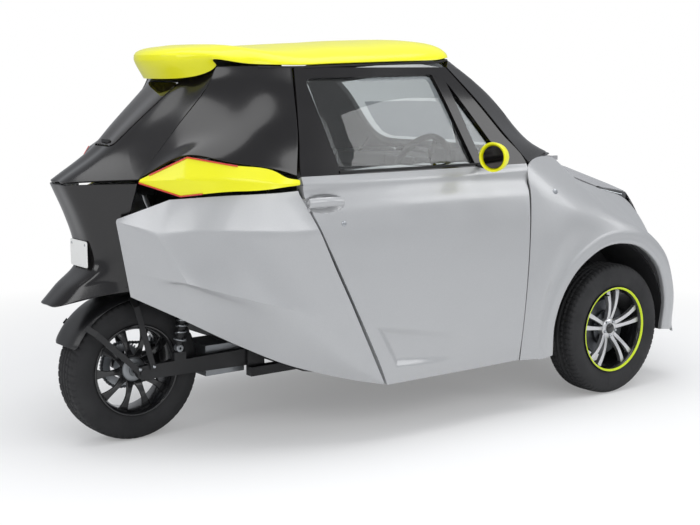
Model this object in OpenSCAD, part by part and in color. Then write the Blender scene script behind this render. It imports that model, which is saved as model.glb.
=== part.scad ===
// Three wheeled two-seat electric car: two steered wheels in front, one driven wheel behind.
// X points forward, Y to the car's left, Z up. The origin is on the ground, midway along the car.
// Body points are written as [x, w, z]: x from the rear axle, w the half-width, z above ground.

/* [Overall] */
// Rear axle to front axle
wheelbase = 2012; // [1850:1:2450]
// Width across the front wheel arches
body_w = 1450; // [1300:1:1750]
// Height of the roof crest
body_h = 1535; // [1350:1:1850]
// Rear axle back to the tip of the tail lip
tail_overhang = 334; // [280:1:400]
// Front axle forward to the nose
nose_overhang = 555; // [480:1:660]

/* [Wheels] */
// Distance between the middles of the front tyres
front_track = 1220; // [1120:1:1300]
// Outer radius of a front tyre
front_tyre_r = 287; // [240:1:310]
// Width of a front tyre
front_tyre_w = 160; // [135:1:175]
// Radius at a front rim's bead
front_rim_r = 186; // [150:1:200]
// Outer radius of the rear tyre
rear_tyre_r = 273.5; // [230:0.5:300]
// Width of the rear tyre
rear_tyre_w = 152; // [130:1:165]
// Radius at the rear rim's bead
rear_rim_r = 176; // [140:1:190]
// Radius of the axle stubs
axle_r = 14; // [10:0.5:18]
// Radial running clearance of a hub on its stub
hub_clear = 0.08; // [0.03:0.01:0.1]
// Steering lock to each side, in degrees
steer_lock = 26; // [20:1:28]

/* [Panels] */
// Thickness of the outer skins
skin_t = 8; // [5:0.5:12]
// Thickness of a door below its window
door_t = 58; // [40:1:70]
// Thickness of a door's window frame
frame_t = 30; // [20:1:36]
// Gap round the doors and lids
shut_gap = 6; // [5:0.5:9]
// Seam between two fixed panels
seam = 1.6; // [1:0.1:3]
// Widest gap between the bonnet and the windscreen frame, for its swing
cowl_gap = 28; // [24:1:34]
// Thickness of the glass
glass_t = 5; // [4:0.5:7]
// Clearance of a pane in its frame
pane_clear = 0.3; // [0.2:0.05:0.5]
// Radial room between a front tyre and its wheel arch
arch_gap = 98; // [85:1:110]
// Thickness of the floor pan and bulkheads
tub_t = 10; // [6:1:14]

// Door hinge line: distance behind the front shut line's lowest point
hinge_back = 12; // [8:1:16]
// Opening angle of the doors, in degrees
door_open = 65; // [40:1:68]

/* [Chassis] */
// Half-width of the rear fork, middle of an arm
fork_w = 108; // [100:1:125]
// Width of a fork arm
fork_arm_t = 24; // [18:1:30]
// Distance of the fork pivot ahead of the rear axle
fork_l = 520; // [450:1:600]
// Radius of the mudguard's inner face beyond the tyre
guard_gap = 26; // [20:1:40]
// Diameter of the steering wheel
steering_d = 360; // [320:1:380]

/* [Hidden] */
$fn = 48;

// The sizes at which the body tables below were drawn
drawn_wheelbase = 2012;
drawn_w = 1450;
drawn_h = 1535;
drawn_tail = 334;
drawn_nose = 555;
mid_x = (wheelbase + nose_overhang - tail_overhang) / 2;

function sx(x) = x < 0 ? x * tail_overhang / drawn_tail
    : x < drawn_wheelbase ? x * wheelbase / drawn_wheelbase
    : wheelbase + (x - drawn_wheelbase) * nose_overhang / drawn_nose;
function sy(w) = w * body_w / drawn_w;
function sz(z) = z * body_h / drawn_h;
function place(p) = [sx(p.x), sy(p.y), sz(p.z)];
function placed(net) = [for (row = net) [for (p = row) place(p)]];

// Catmull-Rom curve through a row of points, with k steps between two of them
function cr(a, b, c, d, t) =
    0.5 * (2 * b + (c - a) * t + (2 * a - 5 * b + 4 * c - d) * t * t
        + (3 * b - a - 3 * c + d) * t * t * t);
function fine_row(r, k) = let(n = len(r) - 1) concat(
    [for (i = [0:n - 1]) for (s = [0:k - 1])
        cr(r[max(i - 1, 0)], r[i], r[i + 1], r[min(i + 2, n)], s / k)], [r[n]]);
function turned(net) = [for (j = [0:len(net[0]) - 1]) [for (i = [0:len(net) - 1]) net[i][j]]];
function fine(net, ki, kj) = turned([for (c = turned([for (r = net) fine_row(r, kj)]))
    fine_row(c, ki)]);
function mirrored_row(row) = concat(row,
    [for (i = [len(row) - 2:-1:0]) [row[i].x, -row[i].y, row[i].z]]);

// Outward unit normal at a point of a net: along its rows, then up its columns
function unit(v) = v / max(norm(v), 1e-6);
function net_normal(n, i, j) = unit(cross(
    n[min(i + 1, len(n) - 1)][j] - n[max(i - 1, 0)][j],
    n[i][min(j + 1, len(n[0]) - 1)] - n[i][max(j - 1, 0)]));

// A closed wall of thickness t behind a net of points, t being one number or one per row.
// lift moves the whole wall inwards first.
module shell(net, t, lift = 0) {
    R = len(net);
    C = len(net[0]);
    outer = [for (i = [0:R - 1]) for (j = [0:C - 1]) net[i][j] - lift * net_normal(net, i, j)];
    inner = [for (i = [0:R - 1]) for (j = [0:C - 1])
        net[i][j] - (lift + (is_list(t) ? t[i] : t)) * net_normal(net, i, j)];
    function o(i, j) = i * C + j;
    function q(i, j) = R * C + i * C + j;
    quads = concat(
        [for (i = [0:R - 2]) for (j = [0:C - 2]) [o(i, j), o(i, j + 1), o(i + 1, j + 1), o(i + 1, j)]],
        [for (i = [0:R - 2]) for (j = [0:C - 2]) [q(i, j), q(i + 1, j), q(i + 1, j + 1), q(i, j + 1)]],
        [for (j = [0:C - 2]) [o(0, j + 1), o(0, j), q(0, j), q(0, j + 1)]],
        [for (j = [0:C - 2]) [o(R - 1, j), o(R - 1, j + 1), q(R - 1, j + 1), q(R - 1, j)]],
        [for (i = [0:R - 2]) [o(i, 0), o(i + 1, 0), q(i + 1, 0), q(i, 0)]],
        [for (i = [0:R - 2]) [o(i + 1, C - 1), o(i, C - 1), q(i, C - 1), q(i + 1, C - 1)]]);
    tris = [for (f = quads) each [[f[0], f[1], f[2]], [f[0], f[2], f[3]]]];
    polyhedron(concat(outer, inner), tris, convexity = 8);
}

// Middle of a ball of radius r that rests on a panel's outer face, or behind a panel of thickness t
rest_gap = 0.6;
function on_skin(n, i, j, r) = n[i][j] + (r + rest_gap) * net_normal(n, i, j);
function behind(n, i, j, r, t) = n[i][j] - (r + rest_gap + t) * net_normal(n, i, j);
// A stay from a point of the frame to the back of a panel, where it ends in a small square pin
module stay(n, i, j, from, t = skin_t, r = 6) {
    tip = behind(n, i, j, 0, t);
    root = behind(n, i, j, 16, t);
    rod(from, root, r);
    bar(root - 4 * unit(tip - root), tip, 3, $fn = 4);
}

// A prism along Y through the side-view outline pts
module along_y(pts, y0, y1)
    translate([0, y1, 0]) rotate([90, 0, 0]) linear_extrude(y1 - y0) polygon(pts);
// A prism along X through the front-view outline pts of [y, z]
module along_x(pts, x0, x1)
    translate([x0, 0, 0]) rotate([90, 0, 90]) linear_extrude(x1 - x0) polygon(pts);
module bar(a, b, r) {
    d = b - a;
    translate(a) rotate([0, acos(d.z / norm(d)), atan2(d.y, d.x)]) cylinder(r = r, h = norm(d));
}
// A six-sided bar
module rod(a, b, r) bar(a, b, r, $fn = 6);
module both() {
    children();
    mirror([0, 1, 0]) children();
}
module box_between(a, b) translate(a) cube(b - a);

// ---- Doors -------------------------------------------------------------------------------

// Rows of the door, from the sill up: z, x of the rear shut line, x of the front shut line,
// half-width at mid length, how far the skin turns in at the rear line and at the front line
door_rows = [
    [231, 730, 1431, 690, 2, 6],
    [300, 698, 1436, 698, 4, 6],
    [420, 639, 1446, 704, 8, 6],
    [560, 570, 1456, 707, 14, 6],
    [700, 502, 1465, 707, 20, 7],
    [850, 430, 1472, 702, 26, 10],
    [960, 385, 1481, 688, 38, 18],
    [1036, 377, 1490, 652, 22, 6],
    [1160, 397, 1389, 609, 18, 6],
    [1300, 418, 1275, 562, 16, 6],
    [1424, 437, 1171, 518, 17, 14],
];
function door_w(r, u) = r[3] - r[4] * pow(max(0, 1 - 1.8 * u), 2)
    - r[5] * pow(max(0, 1.8 * u - 0.8), 2);
door_u = [0, 0.12, 0.3, 0.5, 0.78, 0.9, 1];
function door_net(gap) = placed([for (r = door_rows) [for (u = door_u)
    let(x0 = r[1] + gap, x1 = r[2] - gap) [x0 + (x1 - x0) * u, door_w(r, u), r[0]]]]);
// Windows as seen from the side: the main pane and the quarter light
window_outline = [[552, 1048], [474, 1384], [1083, 1396], [1204, 1048]];
light_outline = [[1252, 1048], [1148, 1368], [1374, 1048]];
function outline(pts) = [for (p = pts) [sx(p.x), sz(p.y)]];

// The hinge line is upright, inside the door's front edge, with a lug at each of two heights
hinge_x = sx(door_rows[0][2]) - hinge_back;
hinge_w = sy(680);
hinge_zs = [sz(360), sz(760)];
lug_h = 40;
lug_r = 8;

module door() {
    thick = [for (r = door_rows) r[0] > 1000 ? frame_t : door_t];
    difference() {
        shell(door_net(shut_gap / 2), thick);
        for (o = [window_outline, light_outline]) along_y(outline(o), 0, body_w);
        for (z = hinge_zs) box_between([hinge_x - lug_r - 6, hinge_w - 90, z],
            [hinge_x + 90, hinge_w + 11, z + lug_h]);
    }
}
// The fixed half of the door hinges, on the front post
module door_lugs() for (z = hinge_zs) {
    translate([hinge_x, hinge_w, z + pane_clear]) cylinder(r = lug_r, h = lug_h - 2 * pane_clear);
    translate([hinge_x - lug_r, hinge_w - 68, z + 12]) cube([2 * lug_r, 68, 16]);
    translate([hinge_x - lug_r, hinge_w - 76, z + 12]) cube([sx(1520) - hinge_x, 16, 16]);
}
module door_glass() intersection() {
    shell(door_net(shut_gap), glass_t, frame_t / 2);
    for (o = [window_outline, light_outline])
        along_y(offset_in(outline(o), pane_clear), 0, body_w);
}
// Each corner of an outline moved towards the middle by about d
function offset_in(pts, d) = let(c = [for (k = [0, 1]) mean([for (p = pts) p[k]])])
    [for (p = pts) p + (c - p) / norm(c - p) * d * 2];
function mean(v) = v * [for (x = v) 1] / len(v);

module mirror_unit() {
    // Stalk on the door skin, then the shell with its glass facing back
    foot = on_skin(door_net(shut_gap / 2), 6, 4, 13);
    head = place([1196, 775, 1082]);
    color("#e8e600") translate(head) rotate([0, 0, -12]) difference() {
        hull() {
            translate([-28, 0, 0]) rotate([0, 90, 0]) cylinder(r = 66, h = 8, $fn = 28);
            translate([-28, 10, 4]) rotate([0, 90, 0]) cylinder(r = 62, h = 60, $fn = 28);
            translate([-28, -10, -4]) rotate([0, 90, 0]) cylinder(r = 58, h = 40, $fn = 28);
        }
        translate([-40, 0, 0]) rotate([0, 90, 0]) cylinder(r = 50, h = 18);
    }
    color("#1a1a1a") {
        bar(foot, head - [0, 12, 50], 12);
        translate(foot) sphere(r = 13);
    }
}

// ---- Front of the body ----------------------------------------------------------------------

arch_x = wheelbase - 27;
arch_z = front_tyre_r;
arch_r = front_tyre_r + arch_gap;
// Stations round the front arch: angle, half-width of the lip, then the panel's outer edge x, w, z
fender_rows = [
    [188, 712, 1434, 686, 229],
    [168, 716, 1452, 699, 480],
    [148, 719, 1470, 697, 700],
    [128, 721, 1482, 684, 900],
    [110, 721, 1496, 650, 1030],
    [92, 720, 1716, 566, 1048],
    [74, 717, 1872, 522, 962],
    [54, 708, 2135, 458, 884],
    [36, 696, 2405, 400, 800],
    [18, 676, 2462, 480, 650],
    [-7, 652, 2512, 600, 205],
];
function arch_point(a, w, dr) = [arch_x + (arch_r + dr) * cos(a), sy(w), arch_z + (arch_r + dr) * sin(a)];
// Columns from the arch lip outwards: the lip, the flare's crown, then a blend to the outer edge
function fender_net() = [for (f = fender_rows)
    let(lip = arch_point(f[0], f[1], 0), crown = arch_point(f[0], f[1] + 2, 46),
        edge = place([f[2], f[3], f[4]]), bulge = [0, sy(18) * abs(sin(f[0] - 20)), 0])
    [lip, crown, crown * 0.62 + edge * 0.38 + bulge, crown * 0.28 + edge * 0.72 + bulge * 0.8, edge]];

fender_skin = fine(fender_net(), 2, 1);
module fender() shell(fender_skin, skin_t);

// Nose rows from the top down: x and z on the centre line, then x, w, z at the end by the fender
bumper_rows = [
    [2548, 716, 2452, 452, 700],
    [2562, 600, 2478, 492, 600],
    [2567, 420, 2496, 541, 420],
    [2545, 215, 2512, 592, 215],
];
function nose_net(rows, gap) = placed([for (r = rows) mirrored_row([for (f = [1, 0.8, 0.4, 0])
    [r[0] + (r[2] - r[0]) * pow(f, 2.4), f * (r[3] - gap), r[1] + (r[4] - r[1]) * f * f]])]);
module bumper() difference() {
    shell(turned(nose_net(bumper_rows, seam)), skin_t);
    // Lower air intake
    along_x([for (p = [[-330, 300], [-290, 420], [290, 420], [330, 300]]) [sy(p.x), sz(p.y)]],
        sx(2400), sx(2600));
}
mask_rows = [
    [2520, 842, 2418, 372, 842],
    [2540, 780, 2436, 392, 800],
    [2547, 722, 2450, 446, 706],
];

module mask() shell(turned(nose_net(mask_rows, seam)), skin_t);

// The lamp lies between the bonnet's edge and the fender's edge
lamp_rows = [
    [[2144, 446, 884], [2260, 418, 868], [2412, 372, 846]],
    [[2139, 436.6, 883.4], [2274, 411.2, 845.4], [2418.6, 374.7, 813.4]],
];
lamp_t = 10;
lamp_net = fine(placed(lamp_rows), 1, 2);
module headlamp() shell(lamp_net, lamp_t);

// Bonnet stations from the cowl forward: x and z on the centre line, x, w and z at the edge
bonnet_rows = [
    [1866, 1046, 1736, 552, 1052],
    [1990, 1022, 1872, 512, 966],
    [2200, 970, 2140, 444, 892],
    [2400, 902, 2330, 400, 862],
    [2522, 850, 2412, 368, 850],
];
function bonnet_net(gap) = placed([for (r = bonnet_rows)
    let(n = [1, 0.8, 0.45, 0]) mirrored_row([for (f = n)
        [r[0] + (r[2] - r[0]) * f * f, f * (r[3] - gap), r[1] + (r[4] - r[1]) * pow(f, 3.2)]])]);

// Screen stations from the header down: centre x, z, glass edge x, w, z, door edge x, w, z
screen_rows = [
    [1372, 1488, 1216, 464, 1452, 1180, 500, 1424],
    [1530, 1352, 1390, 497, 1328, 1286, 556, 1300],
    [1722, 1170, 1600, 543, 1120, 1402, 603, 1160],
    [1852, 1052, 1716, 560, 1062, 1500, 646, 1042],
];
screen_net = placed([for (r = screen_rows)
    let(c = [r[0], 0, r[1]], g = [r[2], r[3], r[4]], o = [r[5], r[6], r[7]])
    mirrored_row([o, g, [c.x + (g.x - c.x) * 0.4, g.y * 0.62, c.z + (g.z - c.z) * 0.38],
        [c.x + (g.x - c.x) * 0.1, g.y * 0.3, c.z + (g.z - c.z) * 0.1], c])]);
screen_outline = [for (p = [[-520, 1086], [0, 1070], [520, 1086], [443, 1436], [0, 1466], [-443, 1436]])
    [sy(p.x), sz(p.y)]];
module screen_wall(t) shell(turned(screen_net), t);

// ---- Roof -----------------------------------------------------------------------------------

// Roof stations from the tail forward: centre x, edge x, edge w, edge z, centre z
roof_rows = [
    [130, 256, 262, 1434, 1381],
    [86, 236, 270, 1452, 1454],
    [253, 330, 368, 1438, 1509],
    [410, 437, 492, 1434, 1501],
    [620, 620, 514, 1440, 1513],
    [900, 900, 516, 1448, 1527],
    [1150, 1125, 505, 1454, 1535],
    [1300, 1188, 484, 1461, 1520],
    [1374, 1212, 466, 1462, 1499],
];
function roof_net() = placed([for (r = roof_rows) mirrored_row([for (f = [1, 0.94, 0.72, 0.36, 0])
    [r[0] + (r[1] - r[0]) * f * f, f * r[2], r[3] + (r[4] - r[3]) * pow(1 - pow(f, 4), 0.6)]])]);

// ---- Rear of the body -----------------------------------------------------------------------

// Silver quarter: rows from its lower edge up, each from the prow forward to the door
quarter_rows = [
    [[-87, 198, 588], [40, 356, 512], [232, 455, 402], [374, 552, 332], [568, 640, 270], [724, 684, 233]],
    [[-90, 199, 602], [22, 392, 622], [226, 528, 508], [372, 604, 430], [540, 668, 345], [712, 687, 255]],
    [[-106, 199, 690], [16, 440, 659], [205, 588, 597], [330, 637, 560], [448, 664, 528], [570, 688, 560]],
    [[-139, 199, 870], [-46, 335, 833], [84, 480, 846], [215, 576, 840], [330, 640, 836], [432, 674, 838]],
    [[-137, 203, 880], [2, 345, 954], [146, 484, 970], [240, 554, 976], [310, 594, 980], [372, 624, 986]],
];
module quarter() intersection() {
    shell(placed(quarter_rows), skin_t);
    // Trimmed to the door's rear shut line
    along_y(outline([[-400, 100], [730 - shut_gap / 2 - 4, 231], [502 - shut_gap / 2 - 4, 700],
        [370, 980], [370, 1200], [-400, 1200]]), 0, body_w);
}

// Upper black side: rows from the belt up, each from the tail crease forward to the door
side_rows = [
    [[-72, 254, 1030], [51, 380, 1114], [175, 490, 1088], [311, 578, 1062], [370, 618, 1040]],
    [[83, 250, 1200], [180, 368, 1200], [262, 468, 1200], [340, 544, 1190], [396, 586, 1180]],
    [[236, 246, 1372], [290, 330, 1372], [338, 402, 1370], [385, 466, 1366], [424, 518, 1362]],
    [[258, 256, 1428], [310, 326, 1430], [352, 386, 1430], [392, 444, 1429], [430, 498, 1427]],
];
module side_panel() shell(placed(side_rows), skin_t);

// Rear face between the two creases: rows from the belt seam up; crease, glass edge, centre
rear_rows = [
    [[-72, 252.5, 1024], [-186, 150, 1018], [-268, 67, 1012], [-273, 0, 1012]],
    [[10, 246.5, 1118], [-45, 150, 1124], [-98, 76, 1122], [-100, 0, 1122]],
    [[84, 244.6, 1200], [40, 160, 1204], [-8, 90, 1204], [-10, 0, 1204]],
    [[238, 240.6, 1374], [216, 170, 1378], [190, 118, 1378], [188, 0, 1378]],
    [[262, 250.6, 1426], [254, 180, 1426], [246, 128, 1426], [244, 0, 1426]],
];
rear_net = placed([for (r = rear_rows) mirrored_row(r)]);
hatch_outline = [for (p = [[-74, 1134], [74, 1134], [119, 1372], [-119, 1372]]) [sy(p.x), sz(p.y)]];
module rear_wall(t, lift = 0) shell(turned([for (r = rear_net) r]), t, lift);

// Lower black tail: rows from the lip up; side edge, facet, corner, centre
tail_rows = [
    [[-40, 150, 598], [-150, 120, 590], [-322, 66, 560], [-334, 0, 560]],
    [[-40, 165, 640], [-150, 110, 640], [-262, 67, 620], [-268, 0, 620]],
    [[-50, 182, 700], [-130, 122, 700], [-180, 68, 690], [-184, 0, 690]],
    [[-60, 196, 790], [-130, 130, 790], [-188, 68, 786], [-192, 0, 786]],
    [[-84, 206, 870], [-150, 140, 870], [-214, 67, 866], [-218, 0, 866]],
    [[-78, 252, 1008], [-190, 150, 1004], [-272, 67, 1000], [-277, 0, 1000]],
];
tail_net = placed([for (r = tail_rows) mirrored_row(r)]);

// Yellow wedge over the quarter: rows from its lower edge up, from the tail tip forward
wedge_rows = [
    [[-76, 264, 1012], [30, 376, 966], [140, 500, 986], [262, 588, 994], [300, 612, 1000], [370, 636, 1008]],
    [[-78, 268, 1019], [32, 404, 1030], [152, 512, 1030], [280, 596, 1018], [312, 616, 1014], [371, 637, 1015]],
    [[-72, 266, 1026], [50, 394, 1108], [174, 506, 1080], [300, 586, 1056], [330, 606, 1036], [372, 632, 1026]],
];

// ---- Colours ----------------------------------------------------------------------------------
silver = "#a9a9a9";
acid = "#e8e600";
black = "#151415";
dark = "#2a2a2c";
steel = "#8d9094";
glass = [0.35, 0.38, 0.4, 0.45];

// ---- Placed nodes -----------------------------------------------------------------------------
module at_origin() translate([-mid_x, 0, 0]) children();

module roof_panel() color(acid) at_origin() shell(turned(fine(roof_net(), 1, 1)), skin_t);
module windscreen_frame() color(black) at_origin() difference() {
    screen_wall(frame_t);
    along_x(screen_outline, sx(1100), sx(2000));
    cowl_clearance();
}
module windscreen() color(glass) at_origin() intersection() {
    screen_wall(glass_t);
    along_x(offset_in(screen_outline, pane_clear), sx(1100), sx(2000));
}
// Room for the bonnet's rear edge as it swings up
module cowl_clearance() {
    back = bonnet_rows[0];
    reach = [for (k = [-10:10]) k / 10];
    translate([0, 0, sz(980)]) linear_extrude(height = 140) polygon(concat(
        [for (f = reach) [sx(back[0] + (back[2] - back[0]) * f * f)
            - cowl_gap * (0.5 + 2 * f * f * (1 - f * f)), f * sy(back[3])]],
        [[sx(back[0]) + 40, sy(back[3])], [sx(back[0]) + 40, -sy(back[3])]]));
}
module front_fenders() color(silver) at_origin() both() fender();
module front_bumper() color(silver) at_origin() bumper();
module nose_mask() color(black) at_origin() mask();
module headlamps() color(dark) at_origin() both() headlamp();
module bonnet() color(silver) at_origin() {
    shell(turned(bonnet_net(shut_gap)), skin_t);
    both() {
        translate([bonnet_hinge_x, sy(470) + 30 + pane_clear, bonnet_hinge_z]) rotate([-90, 0, 0])
            cylinder(r = 8, h = 16);
        translate([bonnet_hinge_x - 6, sy(470) + 32, bonnet_hinge_z]) cube([60, 12, 18]);
    }
}
module rear_quarters() color(silver) at_origin() both() quarter();
module rear_side_panels() color(black) at_origin() both() side_panel();
module rear_window_surround() color(black) at_origin() difference() {
    rear_wall(skin_t);
    along_x(hatch_outline, sx(-250), sx(500));
}
module hatch_frame() color(black) at_origin() {
    difference() {
        intersection() {
            rear_wall(skin_t, glass_t);
            along_x(offset_in(hatch_outline, shut_gap), sx(-250), sx(500));
        }
        along_x(offset_in(hatch_outline, shut_gap + 14), sx(-250), sx(500));
    }
    // Hinge pins out to the surround
    both() translate([hatch_hinge_x, sy(100), hatch_hinge_z]) rotate([-90, 0, 0])
        cylinder(r = 2.5, h = hatch_half(hatch_hinge_z) - sy(100) - 0.8);
}
hatch_hinge_z = sz(1350);
hatch_hinge_x = sx(169.5);
function hatch_half(z) = sy(74 + (119 - 74) * (z / body_h * drawn_h - 1134) / (1372 - 1134));
module hatch_glass() color(glass) at_origin() intersection() {
    rear_wall(glass_t - pane_clear);
    along_x(offset_in(hatch_outline, shut_gap), sx(-250), sx(500));
}
module tail_fascia() color(black) at_origin() shell(turned(tail_net), skin_t);
module tail_wedges() color(acid) at_origin() both() {
    shell(placed(wedge_rows), 9);
    // Feet on the quarter below
    for (j = [2, 3]) translate(on_skin(placed(quarter_rows), 4, j, 13)) sphere(r = 13);
}
plate_t = 4;
plate_holes = 110;
module number_plate() color("#e6e6e6") at_origin() {
    c = place([-192.5, 0, 738]);
    difference() {
        translate(c - [plate_t, 70, 50]) cube([plate_t, 140, 100]);
        for (y = [-1, 1]) translate(c + [-plate_t - 1, y * plate_holes / 2, 35]) rotate([0, 90, 0])
            cylinder(r = 3, h = plate_t + 2);
    }
}

module door_left() color(silver) at_origin() door();
module door_right() mirror([0, 1, 0]) door_left();
module door_glass_left() color(glass) at_origin() door_glass();
module door_glass_right() mirror([0, 1, 0]) door_glass_left();
module mirror_left() at_origin() mirror_unit();
module mirror_right() mirror([0, 1, 0]) mirror_left();

rail_in = fork_w + fork_arm_t / 2 + pane_clear;
rail_w = 40;
rail_z = 200;
rail_h = 36.5;
floor_z = 237;
floor_top = floor_z + tub_t;
// Back wall of the cabin, and the boot floor behind it
bulkhead_x = sx(400);
boot_z = sz(640);

module chassis_frame() color(dark) at_origin() {
    both() {
        box_between([fork_l - 60, rail_in, rail_z], [sx(1990), rail_in + rail_w, rail_z + rail_h]);
        box_between([sx(1980), rail_in, rail_z + 14], [sx(2440), rail_in + rail_w, rail_z + rail_h]);
        // Ears that carry the fork's pivot
        box_between([fork_l - 60, rail_in, rail_z], [fork_l + 20, rail_in + 12, rear_tyre_r + 40]);
    }
    for (x = [sx(760), sx(1460), sx(2400)])
        box_between([x, -rail_in - 1, rail_z + 18], [x + 36, rail_in + 1, rail_z + 34]);
    // Outriggers to the sills
    both() for (x = [sx(800), sx(1400)])
        box_between([x, rail_in + rail_w - 1, rail_z + 12], [x + 40, sy(620), rail_z + 36.5]);
    // Nose posts, with stays to the bumper and the mask
    both() {
        box_between([sx(2404), rail_in + 6, rail_z + 20], [sx(2404) + 24, rail_in + 30, sz(700)]);
        stay(turned(nose_net(bumper_rows, seam)), 2, 1, [sx(2410), rail_in + 18, sz(580)]);
        stay(turned(nose_net(mask_rows, seam)), 1, 1, [sx(2410), rail_in + 18, sz(690)]);
    }
    // Tow eye socket
    difference() {
        translate([sx(2430), 0, tow_z]) rotate([0, 90, 0]) cylinder(r = 18, h = 60);
        translate([sx(2430) + 8, 0, tow_z]) rotate([0, 90, 0]) cylinder(r = tow_bore / 2, h = 60);
    }
    box_between([sx(2404), -12, rail_z + 20], [sx(2404) + 28, 12, tow_z + 14]);
}
tow_bore = 14;
// The socket faces the open intake
tow_z = sz(350);

floor_plan = [[590, 330], [770, 624], [1556, 624], [1590, 380], [2396, 380]];
boot_plan = [[400, 545], [205, 520], [40, 356], [-32, 112], [-118, 60]];
// The pan steps up over the fork's pivot
step_x = sx(590);
step_z = sz(345);
function outline_yz(pts) = [for (p = pts) [sy(p.x), sz(p.y)]];
module plate(pts, z, t) translate([0, 0, z]) linear_extrude(t)
    polygon(concat([for (p = pts) [sx(p.x), sy(p.y)]],
        [for (i = [len(pts) - 1:-1:0]) [sx(pts[i].x), -sy(pts[i].y)]]));
wall_outline = [[500, 345], [545, 640], [-545, 640], [-500, 345]];

module floor_tub() color(dark) at_origin() {
    plate(floor_plan, floor_z, tub_t);
    plate(boot_plan, boot_z - tub_t, tub_t);
    along_x(outline_yz(wall_outline), bulkhead_x, bulkhead_x + tub_t);
    box_between([step_x, -sy(330), floor_z], [step_x + tub_t, sy(330), step_z + 1]);
    box_between([bulkhead_x, -sy(498), step_z - tub_t], [step_x + tub_t, sy(498), step_z + 1]);
    // Scuttle wall ahead of the pedals
    box_between([sx(1610), -sy(376), floor_z], [sx(1610) + tub_t, sy(376), sz(870)]);
    // Stays of the rear panels
    both() {
        stay(placed(quarter_rows), 2, 2, [sx(230), sy(500), boot_z - 5], skin_t + 0.5, 6);
        stay(placed(quarter_rows), 3, 3, [sx(215), sy(490), boot_z - 5], r = 6);
        stay(placed(quarter_rows), 2, 1, [sx(60), sy(330), boot_z - 5], skin_t + 0.5, 6);
        stay(placed(quarter_rows), 1, 3, [bulkhead_x + 4, sy(490), sz(440)], r = 6);
        stay(turned(tail_net), 1, 2, [sx(-70), sy(84), boot_z - 4]);
        // Upper mounts of the rear dampers
        box_between([damper_top - 24, fork_w - 24, damper_z], [damper_top + 24, fork_w + 24, boot_z - tub_t + 1]);
    }
}
damper_foot = 160;
damper_top = 205;
damper_z = sz(590);

post_x = sx(1496);
post_w = sy(622);
hoop_x = sx(434);
tube = 26;
// Front view of the roll hoop, from its foot up to the middle
hoop_rows = [[470, 346.3], [545, 650], [545, 1030], [408, 1440], [0, 1452]];
// Cant rail: follows the roof from the hoop to the screen
rail_w0 = sy(396);
rail_rows = [4, 5, 6];
function roof_z(r, w) = sz(r[3] + (r[4] - r[3]) * pow(1 - pow(w / sy(r[2]), 4), 0.6));
rail_top = [for (k = rail_rows) [sx(roof_rows[k][0]), roof_z(roof_rows[k], rail_w0 + tube) - skin_t - 14]];
rail_ends = concat([[hoop_x, rail_top[0].y - 7]], rail_top);
module cabin_frame() color(dark) at_origin() {
    both() {
        // Front post with the door hinges
        box_between([post_x, sy(560), floor_top + pane_clear], [post_x + 56, post_w, sz(985)]);
        door_lugs();
        along_y(concat(rail_ends, [for (i = [len(rail_ends) - 1:-1:0]) rail_ends[i] - [0, tube]]),
            rail_w0, rail_w0 + tube);
        stay(screen_skin, 1, 2, [post_x + 28, sy(575), sz(975)], frame_t);
        stay(placed(side_rows), 1, 3, [hoop_x, sy(545), sz(1020)]);
        // Pads under the roof
        for (k = [0, 2]) translate([rail_top[k].x, rail_w0 + tube / 2, rail_top[k].y - 8]) cylinder(r = 5,
            h = roof_z(roof_rows[rail_rows[k]], rail_w0 + tube) - skin_t - rest_gap - roof_fall - rail_top[k].y + 8);
        // Bonnet hinge pins
        rod([post_x + 28, sy(575), sz(900)], [bonnet_hinge_x, sy(485), bonnet_hinge_z], 9);
        translate([bonnet_hinge_x, sy(470), bonnet_hinge_z]) rotate([-90, 0, 0]) cylinder(r = 8, h = 30);
    }
    // Roll hoop behind the seats
    along_x(concat([for (p = hoop_rows) [sy(p.x), sz(p.y)]],
        [for (i = [len(hoop_rows) - 2:-1:0]) [-sy(hoop_rows[i].x), sz(hoop_rows[i].y)]],
        [for (p = hoop_rows) [-sy(p.x) + (p.x > 0 ? tube : 0), sz(p.y) - (p.y > 1100 ? tube : 0)]],
        [for (i = [len(hoop_rows) - 2:-1:0]) [sy(hoop_rows[i].x) - tube,
            sz(hoop_rows[i].y) - (hoop_rows[i].y > 1100 ? tube : 0)]]),
        hoop_x - tube / 2, hoop_x + tube / 2);
    box_between([post_x + 10, -sy(565), sz(790)], [post_x + 40, sy(565), sz(820)]);
}
screen_skin = turned(screen_net);
// Fall of the roof across a pad
roof_fall = 5.7;
bonnet_hinge_x = sx(1752);
bonnet_hinge_z = sz(1030);
module arch_liners() color(dark) at_origin() {
    both() translate([arch_x, 0, arch_z]) rotate([-90, 0, 0]) difference() {
        translate([0, 0, sy(380) + 0.4]) cylinder(r = arch_r + 5, h = sy(262.8));
        translate([0, 0, sy(380) + 5.4]) cylinder(r = arch_r, h = sy(300));
        translate([-600, arch_z - floor_z - 1, 0]) cube([1200, 600, 900]);
    }
    // Turrets over the dampers
    both() box_between([tower.x - 56, sy(380) + 1, tower.z + 6 + pane_clear],
        [tower.x + 56, tower.y + 52, tower.z + 14]);
}
dash_profile = [[1352, 900], [1344, 985], [1392, 1032], [1690, 1022], [1765, 1020], [1740, 985], [1600, 955], [1494, 860], [1380, 868]];
dash_plan = [[1300, 559.7], [1500, 559.7], [1540, 500], [1800, 440]];
wheel_centre = place([1215, -290, 985]);
wheel_tilt = 65;
column_l = 126;
module on_column() translate(wheel_centre) rotate([0, -wheel_tilt, 0]) children();
module dashboard() color(dark) at_origin() {
    intersection() {
        along_y(outline(dash_profile), -body_w, body_w);
        plate(dash_plan, sz(800), 400);
    }
    // Boss that carries the steering column
    on_column() translate([0, 0, -column_l - 60]) cylinder(r = 34, h = 60 - pane_clear);
}
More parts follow.
